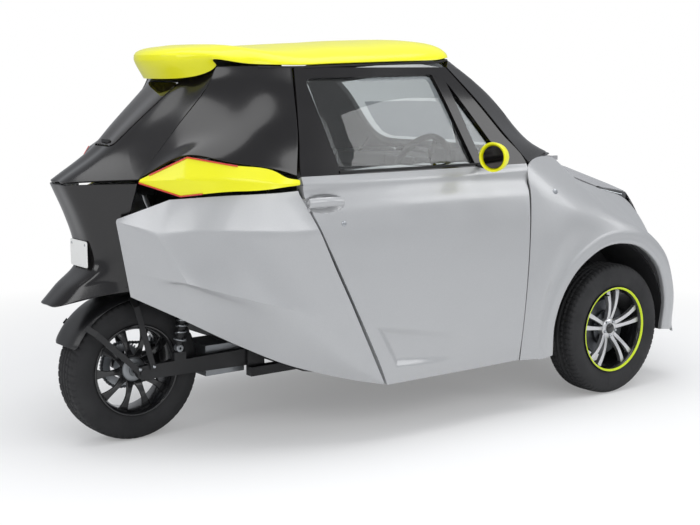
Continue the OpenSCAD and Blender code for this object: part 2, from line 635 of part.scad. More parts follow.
module steering_wheel() color(dark) at_origin() on_column() {
    rotate_extrude() translate([steering_d / 2 - 14, 0]) circle(r = 14);
    translate([0, 0, -16]) cylinder(r = 38, h = 28);
    for (a = [90, 210, 330]) rotate([0, 0, a]) translate([20, -14, -12])
        cube([steering_d / 2 - 38, 28, 10]);
    translate([0, 0, -column_l]) cylinder(r = 22, h = column_l);
}
battery_top = 430;
cushion_h = 120;
module seat_cushions() color(dark) at_origin() both() translate([0, 0, battery_top + pane_clear])
    box_between([sx(600), sy(40), 0], [sx(1100), sy(500), cushion_h]);
back_profile = [[596, 0], [706, 0], [640, 360], [580, 560], [585, 720], [505, 720], [488, 540], [520, 340]];
module seat_backs() color(dark) at_origin() both()
    translate([0, 0, battery_top + cushion_h + 2 * pane_clear])
        along_y([for (p = back_profile) [sx(p.x), p.y]], sy(50), sy(490));
module battery_pack() color(steel) at_origin()
    box_between([sx(640), -sy(480), floor_top + pane_clear], [sx(1060), sy(480), battery_top]);
module drive_motor() color(steel) at_origin()
    box_between([rear_tyre_r + 18, -motor_w, rail_z + 12],
        [fork_l - 50, motor_w, step_z - tub_t - pane_clear]);
motor_w = fork_w - fork_arm_t / 2 - 8;

// Front corner: the steering axis runs from the lower ball joint up through the damper
ball = [wheelbase, front_track / 2 - 72, 196];
tower = [wheelbase - 10, front_track / 2 - 142, sz(640)];
axis_dir = unit(tower - ball);
strut_foot = ball + axis_dir * 190;
module suspension_arms() color(dark) at_origin() {
    both() {
        for (x = [-130, 130])
            rod([wheelbase + x, rail_in + rail_w + 12, rail_z + 14], ball - axis_dir * 14 - [0, 10, 2], 10);
        translate(ball - [0, 0, 26]) cylinder(r = 13, h = 22);
        box_between([wheelbase - 150, rail_in + rail_w + pane_clear, rail_z + 2],
            [wheelbase + 150, rail_in + rail_w + 24, rail_z + 26]);
    }
}
module front_dampers() color(steel) at_origin() both() {
    bar(strut_foot + axis_dir * 0.3, strut_foot + axis_dir * 130, 22);
    bar(strut_foot + axis_dir * 120, tower, 16);
    translate(tower - [0, 0, 6]) cylinder(r = 50, h = 12);
}
module swingarm() color(dark) at_origin() {
    both() difference() {
        hull() {
            translate([0, fork_w, rear_tyre_r]) rotate([90, 0, 0]) cylinder(r = 26, h = fork_arm_t, center = true);
            translate([fork_l - 20, fork_w, rear_tyre_r]) rotate([90, 0, 0])
                cylinder(r = 34, h = fork_arm_t, center = true);
        }
    }
    both() translate([damper_foot - 26, fork_w - fork_arm_t / 2, rear_tyre_r])
        cube([52, fork_arm_t, 60]);
    translate([0, 0, rear_tyre_r]) rotate([90, 0, 0])
        cylinder(r = axle_r, h = 2 * fork_w + fork_arm_t + 8, center = true);
    translate([fork_l - 20, 0, rear_tyre_r]) rotate([90, 0, 0]) cylinder(r = 24, h = 2 * fork_w, center = true);
}
module rear_dampers() color(steel) at_origin() both()
    translate([0, fork_w, 0]) {
        a = [damper_foot, 0, rear_tyre_r + 60 + 14.5];
        b = [damper_top, 0, damper_z - 14.5];
        bar(a, b, 8);
        bar(a + (b - a) * 0.14, a + (b - a) * 0.86, 25);
        for (e = [a, b]) translate(e) rotate([90, 0, 0]) cylinder(r = 14, h = fork_arm_t, center = true);
    }
guard_r = rear_tyre_r + guard_gap;
guard_w = rear_tyre_w / 2 + 19;
guard_from = 64;
guard_to = 156;
module rear_mudguard() color(black) at_origin() translate([0, 0, rear_tyre_r]) {
    rotate([90, 0, 0]) rotate([0, 0, guard_from]) rotate_extrude(angle = guard_to - guard_from, $fn = 96)
        translate([guard_r, -guard_w]) square([5, 2 * guard_w]);
    // Two stays a side, from the axle's end out to the guard's rim
    both() for (a = [96, 138]) translate([0, fork_w + fork_arm_t / 2 + 4.4, 0]) {
        rotate([0, -a, 0]) translate([-12, 0, -9]) cube([guard_r + 16, 5, 18]);
        rotate([0, -a, 0]) translate([guard_r - 4, guard_w - fork_w - fork_arm_t / 2 - 6, -9]) cube([12, 32, 18]);
    }
}

// ---- Wheels -----------------------------------------------------------------------------------
module tyre(r, w, rim_r) rotate([90, 0, 0]) rotate_extrude($fn = 96) polygon([
    [rim_r + pane_clear, -w * 0.38], [rim_r + 14, -w * 0.43], [(r + rim_r) / 2, -w / 2], [r - 14, -w * 0.47],
    [r - 3, -w * 0.4], [r, -w * 0.2], [r, w * 0.2], [r - 3, w * 0.4], [r - 14, w * 0.47],
    [(r + rim_r) / 2, w / 2], [rim_r + 14, w * 0.43], [rim_r + pane_clear, w * 0.38]]);
module rim(r, w, s = 1) rotate([90, 0, 0]) {
    rotate_extrude($fn = 96) polygon([
        [r - 8, -w * 0.46], [r + 8, -w * 0.46], [r + 8, -w * 0.435], [r, -w * 0.4], [r, w * 0.4],
        [r + 8, w * 0.435], [r + 8, w * 0.46], [r - 8, w * 0.46], [r - 12, w * 0.36],
        [r - 12, -w * 0.36]]);
    difference() {
        union() {
            translate([0, 0, -s * hub_l / 2 * 0.2]) cylinder(r = 46, h = hub_l, center = true);
            translate([0, 0, s * 22]) cylinder(r = disc_r, h = 8, center = true);
            for (a = [90:72:449]) rotate([0, 0, a]) translate([40, -22, -s * w * 0.22 - 11])
                cube([r - 51, 44, 22]);
        }
        cylinder(r = axle_r + hub_clear, h = w * 2, center = true);
    }
}
hub_l = 84;
disc_r = 118;
module front_wheel_place(s) at_origin() translate([wheelbase, s * front_track / 2, front_tyre_r]) children();
module tyre_front_left() color("#202022") front_wheel_place(1) tyre(front_tyre_r, front_tyre_w, front_rim_r);
module tyre_front_right() color("#202022") front_wheel_place(-1) tyre(front_tyre_r, front_tyre_w, front_rim_r);
module rim_front_left() color(black) front_wheel_place(1) rim(front_rim_r, front_tyre_w);
module rim_front_right() color(black) front_wheel_place(-1) rim(front_rim_r, front_tyre_w, -1);
module tyre_rear() color("#202022") at_origin() translate([0, 0, rear_tyre_r])
    tyre(rear_tyre_r, rear_tyre_w, rear_rim_r);
module rim_rear() color(black) at_origin() translate([0, 0, rear_tyre_r]) rim(rear_rim_r, rear_tyre_w);
// Left knuckle: stub axle, upright along the steering axis, and the brake caliper
module knuckle_solid() color(dark) at_origin() {
    c = [wheelbase, front_track / 2, front_tyre_r];
    translate(c) rotate([90, 0, 0]) translate([0, 0, -34]) cylinder(r = axle_r, h = 112);
    bar(ball, strut_foot, 18);
    translate(c - [28, 78, 30]) cube([56, 26, 60]);
    // Steering arm
    bar(ball + axis_dir * 60, ball + axis_dir * 60 + [-96, -12, 0], 10);
    // Caliper over the disc, with running room
    translate(c) rotate([0, -135, 0]) difference() {
        translate([disc_r - 34, -52, -36]) cube([46, 48, 72]);
        translate([disc_r - 40, -22 - 9, -50]) cube([45, 18, 100]);
    }
    translate(c) rotate([0, -135, 0]) translate([10, -66, -14]) cube([disc_r - 20, 16, 28]);
}
module knuckle_left() knuckle_solid();
module knuckle_right() mirror([0, 1, 0]) knuckle_solid();
chassis_frame();
floor_tub();
cabin_frame();
roof_panel();
windscreen_frame();
windscreen();
front_fenders();
front_bumper();
nose_mask();
headlamps();
arch_liners();
bonnet();
rear_quarters();
rear_side_panels();
rear_window_surround();
tail_fascia();
tail_wedges();
number_plate();
hatch_frame();
hatch_glass();
dashboard();
steering_wheel();
seat_cushions();
seat_backs();
battery_pack();
drive_motor();
suspension_arms();
front_dampers();
swingarm();
rear_dampers();
rear_mudguard();
door_left();
door_right();
door_glass_left();
door_glass_right();
mirror_left();
mirror_right();
knuckle_left();
knuckle_right();
rim_front_left();
rim_front_right();
rim_rear();
tyre_front_left();
tyre_front_right();
tyre_rear();
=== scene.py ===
"""A three wheeled two-seat electric car: body panels, cabin, wheels and running gear.

Body tables are in millimetres, as [x from the rear axle, half-width, height]. Everything else
is in metres, with X forward, Y to the car's left and Z up.
"""
import logging
from dataclasses import dataclass, field
from enum import Enum
from typing import Iterable, Optional, Sequence

import bmesh
import bpy
import numpy as np
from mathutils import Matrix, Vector


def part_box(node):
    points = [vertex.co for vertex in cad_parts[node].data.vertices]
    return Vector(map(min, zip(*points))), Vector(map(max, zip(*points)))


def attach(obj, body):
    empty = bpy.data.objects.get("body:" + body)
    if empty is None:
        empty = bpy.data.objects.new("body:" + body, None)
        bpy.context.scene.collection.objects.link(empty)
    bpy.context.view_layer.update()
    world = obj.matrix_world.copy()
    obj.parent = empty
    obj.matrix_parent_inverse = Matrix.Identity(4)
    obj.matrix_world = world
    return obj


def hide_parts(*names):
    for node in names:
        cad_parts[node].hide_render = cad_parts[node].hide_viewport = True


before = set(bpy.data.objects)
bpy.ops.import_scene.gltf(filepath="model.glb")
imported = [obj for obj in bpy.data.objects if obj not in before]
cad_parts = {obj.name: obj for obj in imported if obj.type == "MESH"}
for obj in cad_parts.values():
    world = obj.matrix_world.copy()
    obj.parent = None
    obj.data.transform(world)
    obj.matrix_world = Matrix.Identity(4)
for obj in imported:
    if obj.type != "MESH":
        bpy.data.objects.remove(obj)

LOG = logging.getLogger("car")
Array = np.ndarray
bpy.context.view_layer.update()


# ---- Places taken from the frame ------------------------------------------------------------
def middle(node: str) -> Array:
    """Returns the middle of a node's box.

    Args:
        node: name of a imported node.
    Returns:
        The box's middle, in metres.
    """
    low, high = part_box(node)
    return (np.array(low) + np.array(high)) / 2


REAR_HUB = middle("tyre_rear")
FRONT_HUB = middle("tyre_front_left")
AXLE_X = REAR_HUB[0]


def car(points: Sequence) -> Array:
    """Turns millimetres from the rear axle into metres in the frame.

    Args:
        points: array whose last axis is x, half-width and height.
    Returns:
        The same points in metres.
    """
    return np.asarray(points, float) / 1000 + np.array([AXLE_X, 0, 0])


def mirrored(points: Array, side: int) -> Array:
    """Puts points on the left (side 1) or the right (side -1)."""
    return points * np.array([1, side, 1])


# ---- Curves and surfaces --------------------------------------------------------------------
def smooth_rows(rows: Array, steps: int, sharp: Iterable[int] = ()) -> Array:
    """Refines rows by cubic Hermite spans, whose slope at a row is the chord-weighted mean.

    Args:
        rows: control rows along axis 0.
        steps: points per span.
        sharp: rows where the curve keeps a corner.
    Returns:
        (len(rows) - 1) * steps + 1 rows.
    """
    rows = np.asarray(rows, float)
    count = len(rows)
    delta = rows[1:] - rows[:-1]
    chord = np.sqrt((delta ** 2).reshape(count - 1, -1).sum(1)) + 1e-9
    shape = (-1,) + (1,) * (rows.ndim - 1)
    rate = delta / chord.reshape(shape)
    slope = np.empty_like(rows)
    slope[0], slope[-1] = rate[0], rate[-1]
    if count > 2:
        before, after = chord[:-1].reshape(shape), chord[1:].reshape(shape)
        slope[1:-1] = (after * rate[:-1] + before * rate[1:]) / (before + after)
    leave, arrive = slope[:-1].copy(), slope[1:].copy()
    for row in sharp:
        if row < count - 1:
            leave[row] = rate[row]
        if row > 0:
            arrive[row - 1] = rate[row - 1]
    t = np.arange(steps) / steps
    t = t.reshape((1, steps) + (1,) * (rows.ndim - 1))
    span = chord.reshape((-1, 1) + (1,) * (rows.ndim - 1))
    a, b = rows[:-1, None], rows[1:, None]
    m, n = leave[:, None] * span, arrive[:, None] * span
    fine = ((2 * t ** 3 - 3 * t ** 2 + 1) * a + (t ** 3 - 2 * t ** 2 + t) * m
            + (3 * t ** 2 - 2 * t ** 3) * b + (t ** 3 - t ** 2) * n)
    return np.concatenate([fine.reshape((-1,) + rows.shape[1:]), rows[-1:]])


def smooth_net(net: Array, steps: tuple[int, int], sharp_rows: Iterable[int] = (),
               sharp_columns: Iterable[int] = ()) -> Array:
    """Refines a net of control points both ways.

    Args:
        net: control points, rows by columns by 3.
        steps: points per span along the rows' axis and along the columns' axis.
        sharp_rows: rows that stay creases.
        sharp_columns: columns that stay creases.
    Returns:
        The finer net.
    """
    tall = smooth_rows(net, steps[0], sharp_rows)
    return smooth_rows(tall.swapaxes(0, 1), steps[1], sharp_columns).swapaxes(0, 1)


def both_halves(rows: Array) -> Array:
    """Continues rows that end on the centre plane to the other side."""
    other = rows[:, -2::-1] * np.array([1, -1, 1])
    return np.concatenate([rows, other], axis=1)


def sampled(net: Array, row: Array, column: Array) -> Array:
    """Reads a net between its points, by the weighted mean of the four around.

    Args:
        net: points, rows by columns by 3.
        row: fractional row numbers.
        column: fractional column numbers.
    Returns:
        Points, in the shape of row and column.
    """
    r0 = np.clip(np.floor(row).astype(int), 0, net.shape[0] - 2)
    c0 = np.clip(np.floor(column).astype(int), 0, net.shape[1] - 2)
    r, c = (row - r0)[..., None], (column - c0)[..., None]
    return ((net[r0, c0] * (1 - c) + net[r0, c0 + 1] * c) * (1 - r)
            + (net[r0 + 1, c0] * (1 - c) + net[r0 + 1, c0 + 1] * c) * r)


def normals_of(points: Array, wrap: bool = False) -> Array:
    """Unit normals of a grid, as the cross product of its two directions.

    Args:
        points: grid, rows by columns by 3.
        wrap: whether the last row meets the first.
    Returns:
        Normals of the same shape.
    """
    if wrap:
        along = np.roll(points, -1, 0) - np.roll(points, 1, 0)
    else:
        along = np.gradient(points, axis=0)
    across = np.gradient(points, axis=1)
    normal = np.cross(along, across)
    length = np.linalg.norm(normal, axis=-1, keepdims=True)
    normal = np.where(length < 1e-3 * length.mean(), normal.reshape(-1, 3).mean(0), normal)
    return normal / (np.linalg.norm(normal, axis=-1, keepdims=True) + 1e-12)


def lifted(net: Array, target: Array, axes: Sequence[int]) -> Array:
    """Finds a net's points with two given coordinates, by Newton steps on row and column.

    Args:
        net: points, rows by columns by 3.
        target: wanted coordinates, in any shape by 2.
        axes: which two coordinates they are.
    Returns:
        Points on the net, in target's shape by 3.
    """
    axes, want = list(axes), target.reshape(-1, 2)
    apart = net.reshape(-1, 3)[:, axes][None] - want[:, None]
    start = np.argmin((apart ** 2).sum(-1), axis=1)
    row, column = (index.astype(float) for index in np.unravel_index(start, net.shape[:2]))
    for _ in range(8):
        here = sampled(net, row, column)[:, axes]
        dr = (sampled(net, row + 0.05, column)[:, axes] - here) / 0.05
        dc = (sampled(net, row, column + 0.05)[:, axes] - here) / 0.05
        miss = want - here
        scale = dr[:, 0] * dc[:, 1] - dr[:, 1] * dc[:, 0]
        scale = np.where(np.abs(scale) < 1e-12, 1e-12, scale)
        row = np.clip(row + (miss[:, 0] * dc[:, 1] - miss[:, 1] * dc[:, 0]) / scale, 0,
                      net.shape[0] - 1)
        column = np.clip(column + (dr[:, 0] * miss[:, 1] - dr[:, 1] * miss[:, 0]) / scale, 0,
                         net.shape[1] - 1)
    return sampled(net, row, column).reshape(target.shape[:-1] + (3,))


def polar(loop: Array, centre: Array, angles: Array) -> Array:
    """Radius of a loop about a centre at the given angles."""
    ray = loop - centre
    return np.interp(angles, np.arctan2(ray[:, 1], ray[:, 0]), np.linalg.norm(ray, axis=1),
                     period=2 * np.pi)


def frame_round(net: Array, hole: Array, axes: Sequence[int], rings: int = 8,
                count: int = 140) -> Array:
    """The part of a net between a hole and the net's own edge, in rings.

    Args:
        net: points, rows by columns by 3.
        hole: loop of the two coordinates named by axes.
        axes: those two coordinates.
        rings: points from the hole to the edge.
        count: steps round it.
    Returns:
        Grid whose rows wrap.
    """
    edge = np.concatenate([net[0, :-1], net[:-1, -1], net[-1, :0:-1], net[:0:-1, 0]])[:, list(axes)]
    centre = hole.mean(0)
    corners = net[[0, 0, -1, -1], [0, -1, 0, -1]][:, list(axes)] - centre
    angles = np.sort(np.concatenate([np.linspace(-np.pi, np.pi, count, endpoint=False),
                                     np.arctan2(corners[:, 1], corners[:, 0])]))
    inner, outer = polar(hole, centre, angles), polar(edge, centre, angles)
    share = np.linspace(0, 1, rings)
    radius = inner[:, None] * (1 - share) + outer[:, None] * share
    ray = np.stack([np.cos(angles), np.sin(angles)], axis=-1)[:, None]
    return lifted(net, centre + radius[..., None] * ray, axes)


def pane_on(net: Array, outline: Array, axes: Sequence[int], rings: int = 10) -> Array:
    """The part of a net inside an outline, in rings from its middle.

    Args:
        net: points, rows by columns by 3.
        outline: loop of the two coordinates named by axes.
        axes: those two coordinates.
        rings: points from the middle to the outline.
    Returns:
        Grid whose rows wrap.
    """
    centre = outline.mean(0)
    share = np.linspace(0, 1, rings)[None, :, None]
    return lifted(net, centre + (outline - centre)[:, None] * share, axes)


def rounded_loop(corners: Sequence, radius: float, side: int = 8, bend: int = 6) -> Array:
    """Points round a polygon whose corners are quadratic curves, equally many on each side.

    Args:
        corners: polygon corners, in two or three dimensions.
        radius: length that each corner takes off its two sides.
        side: points on each side.
        bend: points on each corner.
    Returns:
        len(corners) * (side + bend) points.
    """
    at = np.asarray(corners, float)
    ahead, behind = np.roll(at, -1, 0), np.roll(at, 1, 0)
    out = (ahead - at) / np.linalg.norm(ahead - at, axis=1, keepdims=True)
    back = (behind - at) / np.linalg.norm(behind - at, axis=1, keepdims=True)
    start, end = at + back * radius, at + out * radius
    t = np.linspace(0, 1, bend, endpoint=False)[None, :, None]
    arc = (1 - t) ** 2 * start[:, None] + 2 * t * (1 - t) * at[:, None] + t ** 2 * end[:, None]
    s = np.linspace(0, 1, side, endpoint=False)[None, :, None]
    line = end[:, None] * (1 - s) + np.roll(start, -1, 0)[:, None] * s
    return np.concatenate([arc, line], axis=1).reshape(-1, at.shape[1])


def smooth_step(value: Array) -> Array:
    """Rises from 0 to 1 between 0 and 1 with level ends."""
    t = np.clip(value, 0, 1)
    return t * t * (3 - 2 * t)


def beyond_line(x: Array, z: Array, a: Sequence[float], b: Sequence[float]) -> Array:
    """Signed distance of points from the line a to b, positive on its left."""
    dx, dz = b[0] - a[0], b[1] - a[1]
    return (dx * (z - a[1]) - dz * (x - a[0])) / np.hypot(dx, dz)


def axes_along(direction: Sequence[float]) -> Array:
    """Three unit axes as rows, the last one along a direction."""
    w = np.asarray(direction, float)
    w = w / np.linalg.norm(w)
    helper = np.array([0, 0, 1.0]) if abs(w[2]) < 0.9 else np.array([1.0, 0, 0])
    u = np.cross(helper, w)
    u = u / np.linalg.norm(u)
    return np.array([u, np.cross(w, u), w])


def turned_profile(profile: Sequence, centre: Sequence[float], axis: Sequence[float],
                   segments: int = 64) -> Array:
    """Turns a profile of [radius, height] about an axis: P = c + r cos a u + r sin a v + h w.

    Args:
        profile: radius and height pairs.
        centre: a point on the axis.
        axis: its direction.
        segments: steps round the axis.
    Returns:
        Grid, segments by profile points by 3, whose rows wrap.
    """
    u, v, w = axes_along(axis)
    r, h = np.asarray(profile, float).T
    a = np.linspace(0, 2 * np.pi, segments, endpoint=False)[:, None, None]
    return np.asarray(centre) + r[None, :, None] * (np.cos(a) * u + np.sin(a) * v) + h[None, :,
                                                                                       None] * w


def tube_along(path: Array, radius: float, sides: int = 10, flat: float = 1.0) -> Array:
    """Carries an ellipse along a path, in the plane square to it.

    Args:
        path: points of the middle line.
        radius: half-width of the section.
        sides: points round the section.
        flat: height of the section over its width.
    Returns:
        Grid, sides by path points by 3, whose rows wrap.
    """
    tangent = np.gradient(path, axis=0)
    tangent /= np.linalg.norm(tangent, axis=1, keepdims=True) + 1e-12
    helper = np.where(np.abs(tangent[:, 2:3]) < 0.95, [[0, 0, 1.0]], [[1.0, 0, 0]])
    u = np.cross(helper, tangent)
    u /= np.linalg.norm(u, axis=1, keepdims=True) + 1e-12
    v = np.cross(tangent, u)
    a = np.linspace(0, 2 * np.pi, sides, endpoint=False)[:, None, None]
    return path + radius * (np.cos(a) * u + flat * np.sin(a) * v)


def soft_box(centre: Sequence[float], half: Sequence[float], square: float = 0.3,
             axes: Optional[Array] = None, size: tuple[int, int] = (40, 21)) -> Array:
    """A superellipsoid: each cosine and sine is raised to a power below 1 to square it.

    Args:
        centre: its middle.
        half: half-sizes along its axes.
        square: the power, 1 for an ellipsoid and near 0 for a box.
        axes: rows are its axes, or None for the frame's.
        size: steps round and steps from pole to pole.
    Returns:
        Grid whose rows wrap and whose end columns are poles.
    """
    def power(value: Array) -> Array:
        return np.sign(value) * np.abs(value) ** square
    a = np.linspace(0, 2 * np.pi, size[0], endpoint=False)[:, None]
    b = np.linspace(-np.pi / 2, np.pi / 2, size[1])[None, :]
    local = np.stack([power(np.cos(a)) * power(np.cos(b)), power(np.sin(a)) * power(np.cos(b)),
                      power(np.sin(b)) + 0 * a], axis=-1) * np.asarray(half)
    return np.asarray(centre) + (local if axes is None else local @ axes)


# ---- Finishes -------------------------------------------------------------------------------
def linear(code: str) -> tuple[float, float, float, float]:
    """Turns an sRGB hex colour into linear values.

    Args:
        code: six hex digits.
    Returns:
        Red, green, blue and an alpha of 1.
    """
    parts = np.array([int(code[k:k + 2], 16) for k in (0, 2, 4)]) / 255
    value = np.where(parts <= 0.04045, parts / 12.92, ((parts + 0.055) / 1.055) ** 2.4)
    return (*value.tolist(), 1.0)


def add_node(tree: bpy.types.NodeTree, kind: str, settings: Optional[dict] = None,
             links: Optional[dict] = None) -> bpy.types.Node:
    """Adds a node, sets its properties and inputs, and links its inputs.

    Args:
        tree: the node tree.
        kind: node type name.
        settings: property names, or input names or numbers, with their values.
        links: input names or numbers with the output sockets that feed them.
    Returns:
        The node.
    """
    node = tree.nodes.new(kind)
    for key, value in (settings or {}).items():
        if isinstance(key, str) and hasattr(node, key):
            setattr(node, key, value)
        else:
            node.inputs[key].default_value = value
    for key, socket in (links or {}).items():
        tree.links.new(socket, node.inputs[key])
    return node


class Pattern(Enum):
    """How a finish varies over its surface."""
    FLAKE = "metal flakes under lacquer"
    LACQUER = "smooth lacquer with faint waviness"
    GRAIN = "moulded grain"
    WEAVE = "woven threads"
    TURNED = "fine machining lines"
    CAST = "cast or blasted skin"
    CLEAR = "clear"


@dataclass(frozen=True)
class Finish:
    """One real material and how its surface was made.

    Pattern sizes are in millimetres, and colours are sRGB hex.
    """
    name: str
    slot: str
    colour: str
    second: str
    pattern: Pattern
    grain_mm: float = 1.0
    roughness: float = 0.4
    metallic: float = 0.0
    coat: float = 0.0
    bump: float = 0.0
    transmission: float = 0.0
    glow: float = 0.0
    sheen: float = 0.0

    def material(self) -> bpy.types.Material:
        """Builds the material once, and returns it."""
        known = bpy.data.materials.get(self.name)
        if known:
            return known
        made = bpy.data.materials.new(self.name)
        made.use_nodes = True
        tree = made.node_tree
        tree.nodes.clear()
        place = add_node(tree, "ShaderNodeTexCoord").outputs["Object"]
        shader = add_node(tree, "ShaderNodeBsdfPrincipled", {
            "Metallic": self.metallic, "Coat Weight": self.coat, "Coat Roughness": 0.06,
            "Transmission Weight": self.transmission, "Sheen Weight": self.sheen,
            "Emission Color": linear(self.colour), "Emission Strength": self.glow,
            "Roughness": self.roughness, "Base Color": linear(self.colour)})
        if self.pattern is not Pattern.CLEAR:
            height = self._height(tree, place)
            tint = add_node(tree, "ShaderNodeMix", {"data_type": "RGBA", 6: linear(self.colour),
                                                    7: linear(self.second)}, {0: height})
            tree.links.new(tint.outputs[2], shader.inputs["Base Color"])
            wear = add_node(tree, "ShaderNodeTexNoise", {"Scale": 9.0, "Detail": 3.0},
                            {"Vector": place})
            rough = add_node(tree, "ShaderNodeMapRange", {
                "From Min": 0.3, "From Max": 0.7, "To Min": self.roughness * 0.88,
                "To Max": min(1.0, self.roughness * 1.14)}, {"Value": wear.outputs["Fac"]})
            tree.links.new(rough.outputs["Result"], shader.inputs["Roughness"])
            if self.bump > 0:
                relief = add_node(tree, "ShaderNodeBump", {"Strength": self.bump,
                                                           "Distance": self.grain_mm / 4000},
                                  {"Height": height})
                tree.links.new(relief.outputs["Normal"], shader.inputs["Normal"])
        add_node(tree, "ShaderNodeOutputMaterial", {}, {"Surface": shader.outputs["BSDF"]})
        return made

    def _height(self, tree: bpy.types.NodeTree,
                place: bpy.types.NodeSocket) -> bpy.types.NodeSocket:
        """Returns the socket of the pattern, from 0 to 1, at its real scale."""
        per_metre = 1000 / self.grain_mm
        if self.pattern is Pattern.WEAVE:
            waves = [add_node(tree, "ShaderNodeTexWave",
                              {"bands_direction": axis, "Scale": per_metre / 6.3,
                                                          "Distortion": 0.6}, {"Vector": place})
                     for axis in ("X", "Z")]
            return add_node(tree, "ShaderNodeMath", {"operation": "MULTIPLY"}, {
                0: waves[0].outputs["Fac"], 1: waves[1].outputs["Fac"]}).outputs[0]
        if self.pattern is Pattern.GRAIN:
            cells = add_node(tree, "ShaderNodeTexVoronoi", {"Scale": per_metre}, {"Vector": place})
            return cells.outputs["Distance"]
        if self.pattern is Pattern.TURNED:
            stretched = add_node(tree, "ShaderNodeMapping", {"Scale": (1.0, 0.05, 1.0)},
                                 {"Vector": place})
            noise = add_node(tree, "ShaderNodeTexNoise", {"Scale": per_metre, "Detail": 2.0},
                             {"Vector": stretched.outputs["Vector"]})
            return noise.outputs["Fac"]
        detail = 1.0 if self.pattern is Pattern.FLAKE else 4.0
        noise = add_node(tree, "ShaderNodeTexNoise", {"Scale": per_metre, "Detail": detail},
                         {"Vector": place})
        return noise.outputs["Fac"]


# Metallic silver lacquer on moulded panels: broad soft highlights
SILVER = Finish("silver_metallic_lacquer", "silver_paint", "A9AAAC", "B4B5B6", Pattern.FLAKE,
                2.5, 0.36, 0.35, 0.35, 0.02)
# Solid acid yellow lacquer: even colour, soft gloss
YELLOW = Finish("acid_yellow_lacquer", "yellow_paint", "E4E300", "EBE800", Pattern.LACQUER,
                60.0, 0.34, 0.0, 0.25, 0.0)
# Piano black lacquer: near mirror, barely wavy
BLACK = Finish("piano_black_lacquer", "black_paint", "0D0B0C", "141213", Pattern.LACQUER,
               80.0, 0.16, 0.0, 0.15, 0.0)
# Satin black powder coat on steel tube: fine orange peel
FRAME = Finish("black_powder_coat", "frame_paint", "161617", "1E1E20", Pattern.CAST, 3.0, 0.45, 0.0,
               0.0, 0.25)
# Grained black moulding: dull with tiny pits
MOULDED = Finish("grained_black_moulding", "moulded_black", "1A1A1B", "242426", Pattern.GRAIN,
                 1.6, 0.62, 0.0, 0.0, 0.35)
# Smooth black moulding for the mudguard: soft gloss
GUARD = Finish("smooth_black_moulding", "moulded_black", "111112", "18181A", Pattern.LACQUER,
               40.0, 0.34, 0.0, 0.1, 0.0)
# Natural rubber seal
SEAL = Finish("rubber_seal", "moulded_black", "0E0E0F", "171718", Pattern.CAST, 2.0, 0.7, 0.0, 0.0,
              0.1)
# Tyre rubber: matt, slightly dusty
TYRE = Finish("tyre_rubber", "tyre", "1D1D1F", "262627", Pattern.CAST, 4.0, 0.78, 0.0, 0.0, 0.2)
# Safety glass with a faint grey tint
GLASS = Finish("tinted_safety_glass", "glass", "D3D7D8", "D3D7D8", Pattern.CLEAR,
               roughness=0.0, transmission=1.0)
# Dark privacy glass of the tail window
DARK_GLASS = Finish("privacy_glass", "glass", "3A3230", "3A3230", Pattern.CLEAR,
                    roughness=0.03, transmission=0.85, coat=0.5)
# Light guide of the daytime lamp
LIGHT_GUIDE = Finish("lamp_light_guide", "lamp_lens", "E8EEF2", "F4F8FA", Pattern.LACQUER, 5.0, 0.3,
                     0.0, 0.2,
                     glow=0.25)
# Red tail lamp moulding
RED_LAMP = Finish("red_lamp_moulding", "yellow_paint", "B8281E", "C83A2C", Pattern.LACQUER, 5.0,
                  0.2, 0.0, 0.5,
                  glow=0.08)
# Diamond-turned alloy faces: bright with fine lines
MACHINED = Finish("machined_alloy", "machined_alloy", "D4D6D8", "C2C4C7", Pattern.TURNED, 1.2, 0.27,
                  0.9, 0.2, 0.05)
# Gloss black rim lacquer
RIM_BLACK = Finish("rim_black_lacquer", "rim_black", "101011", "19191B", Pattern.LACQUER, 20.0,
                   0.24, 0.0, 0.4)
# Lime stripe on the rim's edge
LIME = Finish("lime_rim_stripe", "yellow_paint", "C8DE00", "D2E610", Pattern.LACQUER, 20.0, 0.35,
              0.0, 0.2)
# Cast aluminium of hubs and motor
CAST_ALLOY = Finish("cast_aluminium", "bare_aluminium", "A2A5A8", "8E9194", Pattern.CAST, 2.0, 0.42,
                    0.85, 0.0, 0.3)
# Bright plated steel of springs, chain and sprocket
STEEL = Finish("bright_steel", "bare_steel", "B7BABD", "9DA0A4", Pattern.TURNED, 1.5, 0.3, 0.95,
               0.0, 0.08)
# Dark steel of discs and chain
DARK_STEEL = Finish("dark_steel", "bare_steel", "5E6063", "4A4C4F", Pattern.TURNED, 1.5, 0.38, 0.9,
                    0.0, 0.1)
# Mirror glass
MIRROR = Finish("mirror_glass", "glass", "4A4644", "565250", Pattern.LACQUER, 30.0, 0.03, 1.0)
# Woven seat cloth with foam behind
CLOTH = Finish("woven_seat_cloth", "seat_cloth", "2A2A2D", "3B3B3F", Pattern.WEAVE, 3.0, 0.85, 0.0,
               0.0, 0.5,
               sheen=0.3)
# Plain white plate moulding
PLATE = Finish("plate_moulding", "plate_white", "E9E9E7", "E2E2DF", Pattern.LACQUER, 20.0, 0.35,
               0.0, 0.2)
# Cabin screen glass
SCREEN = Finish("cabin_screen", "moulded_black", "0B0C0E", "101216", Pattern.LACQUER, 30.0, 0.08,
                0.0, 0.5)


